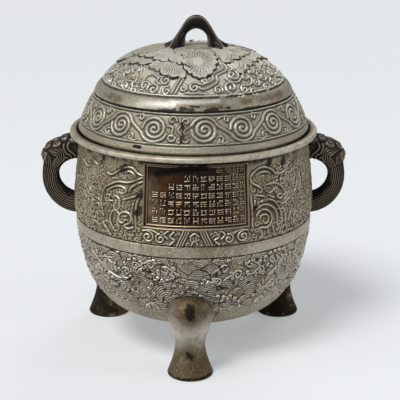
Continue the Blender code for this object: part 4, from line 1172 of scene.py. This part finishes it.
def make_grip(name):
    """Between the hole's half circle and the outer curve each ring is a rounded bar with bark lines."""
    share = np.linspace(-1, 1, GRIP_ROWS)
    side, part = np.sign(share), abs(share)
    turn, half = part * np.pi / 2, HOLE_W / 2
    inner = np.stack([side * half * np.sin(turn), 0 * share, HOLE_H - half + half * np.cos(turn)], axis=1)
    inner[:, 2] -= (HOLE_H - half + 3 * CORNER) * np.clip((part - 0.8) / 0.2, 0, 1) ** 2
    shoulder = [(0, GRIP_Z), (GRIP_SHOULDER, GRIP_Z), (GRIP_SHOULDER, GRIP_Z / 3), (GRIP_SPREAD, 0)]
    curve = four_point_curve(shoulder, 400)
    step = np.linspace(0, 1, len(curve))
    outer = np.stack([
        side * np.interp(part, step, curve[:, 0]), 0 * share, np.interp(part, step, curve[:, 1])], axis=1)
    outer[:, 2] -= 6 * CORNER * np.clip((part - 0.85) / 0.15, 0, 1)
    reach = (outer - inner) / 2
    length = np.linalg.norm(reach, axis=1)
    depth_here = GRIP_DEPTH + (GRIP_FOOT - GRIP_DEPTH) * part ** 3
    around = angles_round(GRIP_COLUMNS)
    sway = 3.0 * np.sin(5 * share)[:, None]
    relief = BARK / 2 * (np.sin(7 * around + sway) + np.sin(11 * around + 1)) * (0.4 + 0.6 * part[:, None])
    layers = layers_of(relief.shape)
    standing = crest_and_foot(relief)
    front_face = np.clip(-np.sin(around), 0, 1)
    layers["relief"] = 2.0 * standing
    # Painted highlights on the bark's crests and along the edges of the front face; the front face itself is
    # dark patina with painted shade.
    layers["upper"] = 2.0 * np.clip(standing, 0, 1)
    layers["dark"] = 1.1 * np.clip((front_face - 0.66) / 0.2, 0, 1) * (1 - 0.4 * abs(relief) / BARK)
    layers["pale"] = 0.9 * np.exp(-((front_face - 0.48) / 0.16) ** 2) * (0.5 + 0.5 * part[:, None])
    reach_out = (length[:, None] + relief * MM) * np.cos(around)
    reach_side = (0.54 * depth_here[:, None] + relief * MM) * np.sin(around)
    centres = (inner + outer) / 2 + (GRIP_SHIFT, 0, CROWN_Z)
    across = np.tile([0, 1.0, 0], (GRIP_ROWS, 1))
    return bar(name, centres, reach / length[:, None], across, reach_out, reach_side, layers)


def make_root(name, side, turn):
    """A tapered bar that leaves the arch's foot and sinks into the crown."""
    share = np.linspace(0, 1, ROOT_ROWS)[:, None]
    way = np.array([side * math.cos(turn), math.sin(turn), -ROOT_DROP])
    start = np.array([GRIP_SHIFT + side * (HOLE_W / 2 + 6 * MM), 3 * MM * turn, CROWN_Z + ROOT_Z])
    flat = np.cross([0, 0, 1.0], way)
    flat /= np.linalg.norm(flat)
    above = np.cross(way, flat)
    above /= np.linalg.norm(above)
    around = angles_round(ROOT_COLUMNS)
    bark = np.sin(5 * around + 6 * share)
    reach = ROOT_R * (1.25 - 0.7 * share) * (1 + 0.10 * bark)
    layers = layers_of(reach.shape)
    layers["relief"] = 0.4 * bark
    return bar(name, start + way * ROOT_LENGTH * share, np.tile(flat, (ROOT_ROWS, 1)),
               np.tile(above, (ROOT_ROWS, 1)), reach * np.cos(around), reach * np.sin(around), layers)


grip_pieces = [make_grip("lid_grip")]
for side, side_name in ((-1, "left"), (1, "right")):
    for index, turn in enumerate((-1.0, 0.0, 1.0)):
        grip_pieces.append(make_root(f"grip_root_{side_name}_{index}", side, turn))

# %% [markdown]
# The inscribed panel is a thin slab bent round the wall. Its frame has two fine ridges. The writing on
# it is only suggested, by blocks of short dashes that are no letters, as it reads from a step away.

# %% Draw the panel
PANEL_ROWS, PANEL_COLUMNS = 156, 236
PANEL_LEFT, PANEL_RIGHT, PANEL_LOW, PANEL_HIGH = -48.5, 53.5, 16.6, 79.2
SIGN_COLUMNS = (-36, -28.5, -20.8, -13.2, -5.6, 2, 9.6, 17.2, 24.8, 32.4, 40, 47)
SIGN_ROWS = (4, 4, 5, 5, 6, 6, 6, 6, 7, 7, 7, 7)
SIGN_SIZE, SIGN_PITCH, SIGN_FOOT, SIGN_HEIGHT, DASH_WIDTH = 5.5, 7.9, 26.2, 1.3, 1.35
PANEL_TOP = 1.9
panel = Sheet(np.linspace(PANEL_LEFT, PANEL_RIGHT, PANEL_COLUMNS)[None, :],
              np.linspace(PANEL_LOW, PANEL_HIGH, PANEL_ROWS)[:, None])


def frame_line(inset):
    """A closed rectangle that runs inside the slab's edge at a distance, a little closer at the top."""
    left, right = PANEL_LEFT + inset, PANEL_RIGHT - inset
    low, high = PANEL_LOW + inset, PANEL_HIGH - 0.6 * inset
    return [(left, low), (right, low), (right, high), (left, high), (left, low)]


def sign_in_cell(sheet, draw, x, y, size, height):
    """A block of short dashes, level and upright, in three rows. It stands for a sign without being one."""
    left, right = x - 0.42 * size, x + 0.42 * size
    for row in range(3):
        level = y + size * (0.34 - 0.34 * row)
        kind = draw.uniform()
        if kind < 0.35:
            sheet.ridge([(left, level - 0.15), (right, level + 0.15)], DASH_WIDTH, height)
        elif kind < 0.6:
            cut = x + draw.uniform(-0.2, 0.2) * size
            sheet.ridge([(left, level), (cut - 0.9, level)], DASH_WIDTH, height)
            sheet.ridge([(cut + 0.9, level), (right, level)], DASH_WIDTH, height)
        else:
            for column in draw.permutation(3)[:2]:
                at = x + size * (-0.34 + 0.34 * column)
                sheet.ridge([(at - 0.1, level - 0.7), (at + 0.1, level + 0.7)], DASH_WIDTH + 0.1, height)


draw = np.random.default_rng(77)
for x, rows in zip(SIGN_COLUMNS, SIGN_ROWS):
    for row in range(rows):
        if x < -25 or x > 45:
            wear = 0.55
        else:
            wear = 0.6 if row == 6 else 1.0
        place = x + draw.uniform(-0.3, 0.3), SIGN_FOOT + SIGN_PITCH * row
        sign_in_cell(panel, draw, *place, SIGN_SIZE, SIGN_HEIGHT * wear)
panel.ridge(frame_line(1.3), 2.2, 1.5)
panel.ridge(frame_line(4.3), 1.5, 0.9)
panel.crisp(0.6)
panel.height = np.minimum(panel.height, PANEL_TOP)
for kind, line, reach, strength in (
        ("dark", [(-34, 70), (-10, 76), (12, 76)], 7, 1.1),
        ("brown", [(-34, 68), (-24, 72), (-28, 56)], 11, 0.8),
        ("brown", [(6, 24), (16, 36), (24, 24)], 8, 0.55), ("pale", [(40, 70), (46, 40), (48, 24)], 17, 0.45),
        ("pale", [(-44, 56), (-40, 34), (-32, 22)], 14, 0.5), ("pale", frame_line(1.0), 1.6, 0.9)):
    panel.stain_and_light(kind, line, reach, strength)
print("panel strokes:", panel.count)

# %% [markdown]
# A slab needs a front, a back and a border that joins them. The back lies inside the wall, so that the
# panel looks cast in one with it.

# %% Build the panel
PANEL_STAND, PANEL_SUNK = 0.25, 1.2


def slab(name, front, back, values):
    """Front and back grids of the same size, joined round their border into one closed piece."""
    rows, columns = front.shape[:2]
    behind = rows * columns
    n = np.arange(behind).reshape(rows, columns)
    face = np.stack([n[:-1, :-1], n[:-1, 1:], n[1:, 1:], n[1:, :-1]], axis=-1).reshape(-1, 4)
    border = np.concatenate([n[0], n[1:, -1], n[-1, -2::-1], n[-2:0:-1, 0]])
    following = np.roll(border, -1)
    sides = np.stack([border, border + behind, following + behind, following], axis=-1)
    quads = np.concatenate([face, face[:, [0, 3, 2, 1]] + behind, sides])
    points = np.concatenate([front.reshape(-1, 3), back.reshape(-1, 3)])
    both = {key: np.tile(value.reshape(-1), 2) for key, value in values.items()}
    return mesh_piece(name, points, quads, np.zeros((0, 3), int), both)


panel_rows = along(wall_line, panel.up[:, 0] * MM)
panel_angles = panel.across[0] * MM / BELLY_R
front = turn_profile(panel_rows, (panel.height + PANEL_STAND) * MM, panel_angles)
back = turn_profile(panel_rows, np.full(panel.height.shape, -PANEL_SUNK * MM), panel_angles)
inscribed_panel = slab("inscribed_panel", front, back, layers_of(panel.height.shape, panel, slice(None)))

# %% [markdown]
# Every finish of this burner is made of shader nodes. A small class keeps their set-up short: it adds a
# node, gives or links its inputs and returns the socket that the next node needs.

# %% A small helper for shader nodes
class Nodes:
    """Adds nodes to a tree and links them by socket name."""

    def __init__(self, tree):
        self.tree = tree

    def fill(self, socket, value):
        """Links a socket to another one, or gives it a plain value."""
        if isinstance(value, bpy.types.NodeSocket):
            self.tree.links.new(value, socket)
        else:
            socket.default_value = value

    def add(self, kind, inputs=None, **settings):
        node = self.tree.nodes.new(kind)
        for key, value in settings.items():
            setattr(node, key, value)
        for key, value in (inputs or {}).items():
            self.fill(node.inputs[key], value)
        return node

    def math(self, operation, a, b=0.0, clamp=False):
        return self.add("ShaderNodeMath", {0: a, 1: b}, operation=operation, use_clamp=clamp).outputs[0]

    def times(self, a, b):
        return self.math("MULTIPLY", a, b)

    def uneven(self, value, noise, amount):
        """The value with noise added to it, both ways: value + amount * (noise - 0.5)."""
        return self.math("ADD", value, self.times(self.math("SUBTRACT", noise, 0.5), amount))

    def ramp(self, value, low, high, to_low=0.0, to_high=1.0):
        """A soft slope between two values, held outside them."""
        inputs = {"Value": value, "From Min": low, "From Max": high, "To Min": to_low, "To Max": to_high}
        return self.add("ShaderNodeMapRange", inputs, interpolation_type="SMOOTHSTEP").outputs[0]

    def mix(self, share, a, b):
        node = self.add("ShaderNodeMix", data_type="RGBA")
        for key, value in (("Factor_Float", share), ("A_Color", a), ("B_Color", b)):
            self.fill(next(s for s in node.inputs if s.identifier == key), value)
        return next(s for s in node.outputs if s.identifier == "Result_Color")

    def noise(self, where, scale, detail=3.0, rough=0.55):
        inputs = {"Vector": where, "Scale": scale, "Detail": detail, "Roughness": rough}
        return self.add("ShaderNodeTexNoise", inputs).outputs[0]

# %% [markdown]
# Old bronze has three voices: a grey-olive skin, darker dirt that stays in the hollows, and edges that
# hands have rubbed bright. Painted light lies over them: shade in hollows and on the lower sides of the
# relief, highlights on its crests and upper sides, and sheen where a piece asks for it. One node group
# mixes them from the relief attributes and from noise at three sizes. Brown and dark stains, and the
# dark of painted shade, eat into the skin unevenly, flecks of bare metal show through them, and pale
# wear and painted sheen spare the hollows. Each material then gives the group colours of its own.

# %% The aged bronze group
MARKS_AND_PAINTED_LIGHT = ("Relief", "Upper", "Brown", "Dark", "Pale", "Polish")
COLOURS = ("Ground", "Ridge", "Hollow", "Stain", "BareAndSheen")
AMOUNTS = ("Mottle", "Depth", "Specks")


def aged_bronze_group():
    """Hollows get dirt and painted shade, ridges get wear and painted highlight, noise mottles, stains lie
    over.
    """
    group = bpy.data.node_groups.new("aged bronze", "ShaderNodeTree")
    for kind, names in (("Vector", ("Place",)), ("Float", MARKS_AND_PAINTED_LIGHT), ("Color", COLOURS), ("Float", AMOUNTS)):
        for name in names:
            group.interface.new_socket(name, in_out="INPUT", socket_type="NodeSocket" + kind)
    for name, kind in (("Colour", "Color"), ("Roughness", "Float"), ("Height", "Float")):
        group.interface.new_socket(name, in_out="OUTPUT", socket_type="NodeSocket" + kind)
    n = Nodes(group)
    given = n.add("NodeGroupInput").outputs
    broad = n.noise(given["Place"], 24.0, 4.0)
    middle = n.noise(given["Place"], 130.0, 4.0, 0.6)
    fine = n.noise(given["Place"], 620.0, 3.0, 0.7)
    relief = n.uneven(given["Relief"], middle, 0.5)
    brown = n.ramp(n.uneven(given["Brown"], middle, 1.8), 0.3, 0.8)
    dark = n.ramp(n.uneven(given["Dark"], middle, 1.8), 0.35, 0.8)
    # Crests and the relief's upper sides: wear with a painted highlight.
    crest, painted_highlight = n.ramp(relief, 0.15, 0.8), n.ramp(given["Upper"], 0.08, 0.80)
    # Hollows: dirt with painted shade. The relief's lower sides: painted shade.
    dirt_and_painted_shade, shaded = n.ramp(relief, -0.08, -0.42), n.ramp(given["Upper"], -0.10, -0.80)
    light = n.math("ADD", n.times(crest, 0.35), n.times(painted_highlight, 0.65), clamp=True)
    deep = n.math("ADD", n.times(dirt_and_painted_shade, 0.75), n.times(shaded, 0.75), clamp=True)

    colour = n.mix(n.times(n.ramp(broad, 0.40, 0.68), given["Mottle"]), given["Ground"], given["Stain"])
    colour = n.mix(n.times(n.ramp(fine, 0.52, 0.70), given["Specks"]), colour, given["Ridge"])
    colour = n.mix(n.times(n.ramp(fine, 0.47, 0.32), given["Specks"]), colour, given["Hollow"])
    colour = n.mix(light, colour, given["Ridge"])
    colour = n.mix(n.times(deep, given["Depth"]), colour, given["Hollow"])
    colour = n.mix(n.times(brown, 0.75), colour, given["Stain"])
    flecks = n.times(n.times(n.ramp(fine, 0.55, 0.75), brown), given["Specks"])
    colour = n.mix(flecks, colour, given["Ridge"])
    # The pale layer: rubbed metal, with painted sheen and highlights where a piece sets it.
    pale = n.times(given["Pale"], n.ramp(middle, 0.35, 0.6, 0.5, 1.0))
    pale = n.times(pale, n.math("SUBTRACT", 1.0, n.times(deep, 0.9)))
    colour = n.mix(pale, colour, given["BareAndSheen"])
    # The dark layer: stains and dirt, with painted shade where a piece sets it.
    colour = n.mix(n.times(dark, 0.93), colour, given["Hollow"])

    rough = n.uneven(n.ramp(relief, -0.3, 0.5, 0.62, 0.42), fine, 0.25)
    rough = n.math("SUBTRACT", rough, n.times(given["Polish"], 0.16))
    rough = n.math("ADD", rough, n.times(dark, 0.12), clamp=True)
    tall = n.math("ADD", n.times(fine, 0.55), n.times(middle, 0.45))
    n.add("NodeGroupOutput", {"Colour": colour, "Roughness": rough, "Height": tall})
    return group


AGED = aged_bronze_group()

# %% [markdown]
# Seven finishes come from the one group: the olive wall, the paler dome and lid, the belly, the nearly
# black handles, the smooth legs and the red brown panel. The five colours of each are, in this order,
# the skin, worn ridges with painted highlight, dirt and painted shade in hollows, brown stains, and bare
# rubbed metal that also carries painted sheen.

# %% Bronze materials
def bronze(name, colours, mottle=0.35, metallic=0.8, depth=0.9, grain=0.0004, specks=0.5):
    """A Principled surface whose colour, roughness and grain come from the aged bronze group."""
    material = bpy.data.materials.new(name)
    material.use_nodes = True
    n = Nodes(material.node_tree)
    inputs = {"Place": n.add("ShaderNodeTexCoord").outputs["Object"]}
    for socket in MARKS_AND_PAINTED_LIGHT:
        inputs[socket] = n.add("ShaderNodeAttribute", attribute_name=socket.lower()).outputs["Fac"]
    inputs.update({socket: (*colour, 1) for socket, colour in zip(COLOURS, colours)})
    inputs.update(zip(AMOUNTS, (mottle, depth, specks)))
    aged = n.add("ShaderNodeGroup", inputs, node_tree=AGED).outputs
    bumps = n.add("ShaderNodeBump", {"Strength": 0.5, "Distance": grain, "Height": aged["Height"]})
    skin = material.node_tree.nodes["Principled BSDF"].inputs
    n.fill(skin["Base Color"], aged["Colour"])
    n.fill(skin["Roughness"], aged["Roughness"])
    n.fill(skin["Metallic"], metallic)
    n.fill(skin["Normal"], bumps.outputs["Normal"])
    return material


ROUGH_CAST = {"grain": 0.0009, "specks": 0.75, "depth": 1.0}
OLIVE = bronze("olive grey bronze", (
    (0.255, 0.212, 0.132), (0.64, 0.58, 0.44), (0.008, 0.006, 0.002),
    (0.115, 0.070, 0.026), (0.60, 0.55, 0.45)),
    mottle=0.5, metallic=0.65, **ROUGH_CAST)
# The dome is paler than the lid: its own tone with a painted sheen over it.
DOME_SKIN_AND_SHEEN = bronze("dome bronze with painted sheen", (
    (0.530, 0.505, 0.400), (0.90, 0.88, 0.77), (0.012, 0.010, 0.005),
    (0.230, 0.165, 0.080), (0.74, 0.72, 0.64)),
    metallic=0.5)
LID_SKIN = bronze("lid bronze", (
    (0.310, 0.285, 0.205), (0.56, 0.53, 0.42), (0.010, 0.008, 0.003),
    (0.130, 0.085, 0.042), (0.56, 0.55, 0.50)),
    metallic=0.45)
SEA_SKIN = bronze("belly bronze", (
    (0.300, 0.258, 0.182), (0.86, 0.79, 0.68), (0.008, 0.006, 0.003),
    (0.135, 0.105, 0.050), (0.50, 0.45, 0.36)),
    mottle=0.55, **ROUGH_CAST)
HANDLE_SKIN = bronze("dark handled bronze", (
    (0.018, 0.013, 0.007), (0.24, 0.20, 0.145), (0.002, 0.001, 0.001),
    (0.03, 0.018, 0.010), (0.42, 0.37, 0.30)),
    metallic=0.6, specks=0.3)
LEG_SKIN = bronze("smooth leg bronze", (
    (0.235, 0.198, 0.138), (0.42, 0.38, 0.31), (0.008, 0.005, 0.002),
    (0.088, 0.052, 0.018), (0.58, 0.54, 0.47)),
    mottle=0.8, grain=0.0009, specks=0.6)
PANEL_SKIN = bronze("red brown panel", (
    (0.013, 0.008, 0.004), (0.52, 0.41, 0.28), (0.002, 0.001, 0.001),
    (0.090, 0.032, 0.009), (0.38, 0.27, 0.17)),
    specks=0.04)

for material, pieces in (
        (OLIVE, [bowl_wall]), (SEA_SKIN, [bowl_belly]), (LID_SKIN, [lid_skirt]), (DOME_SKIN_AND_SHEEN, [lid_dome]),
        (PANEL_SKIN, [inscribed_panel]), (LEG_SKIN, legs), (HANDLE_SKIN, handles + grip_pieces)):
    for piece in pieces:
        piece.data.materials.append(material)

# %% [markdown]
# The new pieces stand for the two cast solids. These are hidden, but stay in the frame for
# handling and collision.

# %% Hide the two cast solids
for piece in [bowl_wall, bowl_belly, inscribed_panel, *legs, *handles]:
    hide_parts("bowl")
for piece in [lid_skirt, lid_dome, *grip_pieces]:
    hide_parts("lid")

# %% [markdown]
# A large pale floor is the only thing on the stage. It glows a little, as paper under studio lights
# does, so that the burner stands in front of an even pale ground.

# %% The floor
FLOOR_HALF, FLOOR_GLOW = 8.0, 0.28
corners = [(x * FLOOR_HALF, y * FLOOR_HALF, 0) for x, y in ((-1, -1), (1, -1), (1, 1), (-1, 1))]
floor_mesh = bpy.data.meshes.new("floor")
floor_mesh.from_pydata(corners, [], [(0, 1, 2, 3)])
floor = bpy.data.objects.new("floor", floor_mesh)
bpy.context.collection.objects.link(floor)
paper = bpy.data.materials.new("pale paper")
paper.use_nodes = True
nodes = Nodes(paper.node_tree)
cloudy = nodes.noise(nodes.add("ShaderNodeTexCoord").outputs["Object"], 1.5)
paper_skin = paper.node_tree.nodes["Principled BSDF"].inputs
for socket, value in (
        ("Base Color", nodes.mix(cloudy, (0.52, 0.53, 0.54, 1), (0.53, 0.54, 0.55, 1))), ("Roughness", 0.9),
        ("Specular IOR Level", 0.2), ("Emission Color", (0.95, 0.98, 1.0, 1)),
        ("Emission Strength", FLOOR_GLOW)):
    nodes.fill(paper_skin[socket], value)
floor_mesh.materials.append(paper)

# %% [markdown]
# A broad soft light from above left, a weak one from behind and a gentle one from each side stand in
# for a photographer's lamps. The camera looks down on the burner a little, from more than a metre away.

# %% Light and camera
CAMERA_BACK, CAMERA_UP, CAMERA_TILT = 1.2, 0.5205, 17.49
LENS, SENSOR, SHIFT = 111.07, 36.0, 0.01645
SKY, SKY_STRENGTH = (0.90, 0.93, 0.96, 1), 0.27


def place_light(name, kind, place, target, power, size):
    """A soft light that faces a point: a square one near by, or a broad sun, whose size is an angle."""
    data = bpy.data.lights.new(name, kind)
    data.energy = power
    if kind == "SUN":
        data.angle = math.radians(size)
    else:
        data.shape, data.size = "SQUARE", size
    lamp = bpy.data.objects.new(name, data)
    lamp.location = place
    lamp.rotation_euler = (Vector(target) - Vector(place)).to_track_quat("-Z", "Y").to_euler()
    bpy.context.collection.objects.link(lamp)


place_light("broad light above", "SUN", (-0.50, -0.66, 1.2), (0, 0, 0), 2.3, 22)
place_light("light behind", "SUN", (0.9, 1.6, 1.6), (0, 0, 0), 0.5, 30)
place_light("soft light left", "AREA", (-1.3, -0.5, 0.75), (0, 0, 0.12), 5.0, 0.6)
place_light("soft light right", "AREA", (1.3, -0.3, 0.7), (0, 0, 0.12), 3.4, 0.5)
world = bpy.data.worlds.new("studio")
world.use_nodes = True
sky = world.node_tree.nodes["Background"].inputs
sky["Color"].default_value, sky["Strength"].default_value = SKY, SKY_STRENGTH
bpy.context.scene.world = world
bpy.context.scene.view_settings.view_transform = "Standard"

camera_data = bpy.data.cameras.new("camera")
camera_data.lens, camera_data.sensor_width, camera_data.shift_x = LENS, SENSOR, SHIFT
camera = bpy.data.objects.new("camera", camera_data)
camera.location = (0, -CAMERA_BACK, CAMERA_UP)
camera.rotation_euler = (math.radians(90 - CAMERA_TILT), 0, 0)
bpy.context.collection.objects.link(camera)
bpy.context.scene.camera = camera
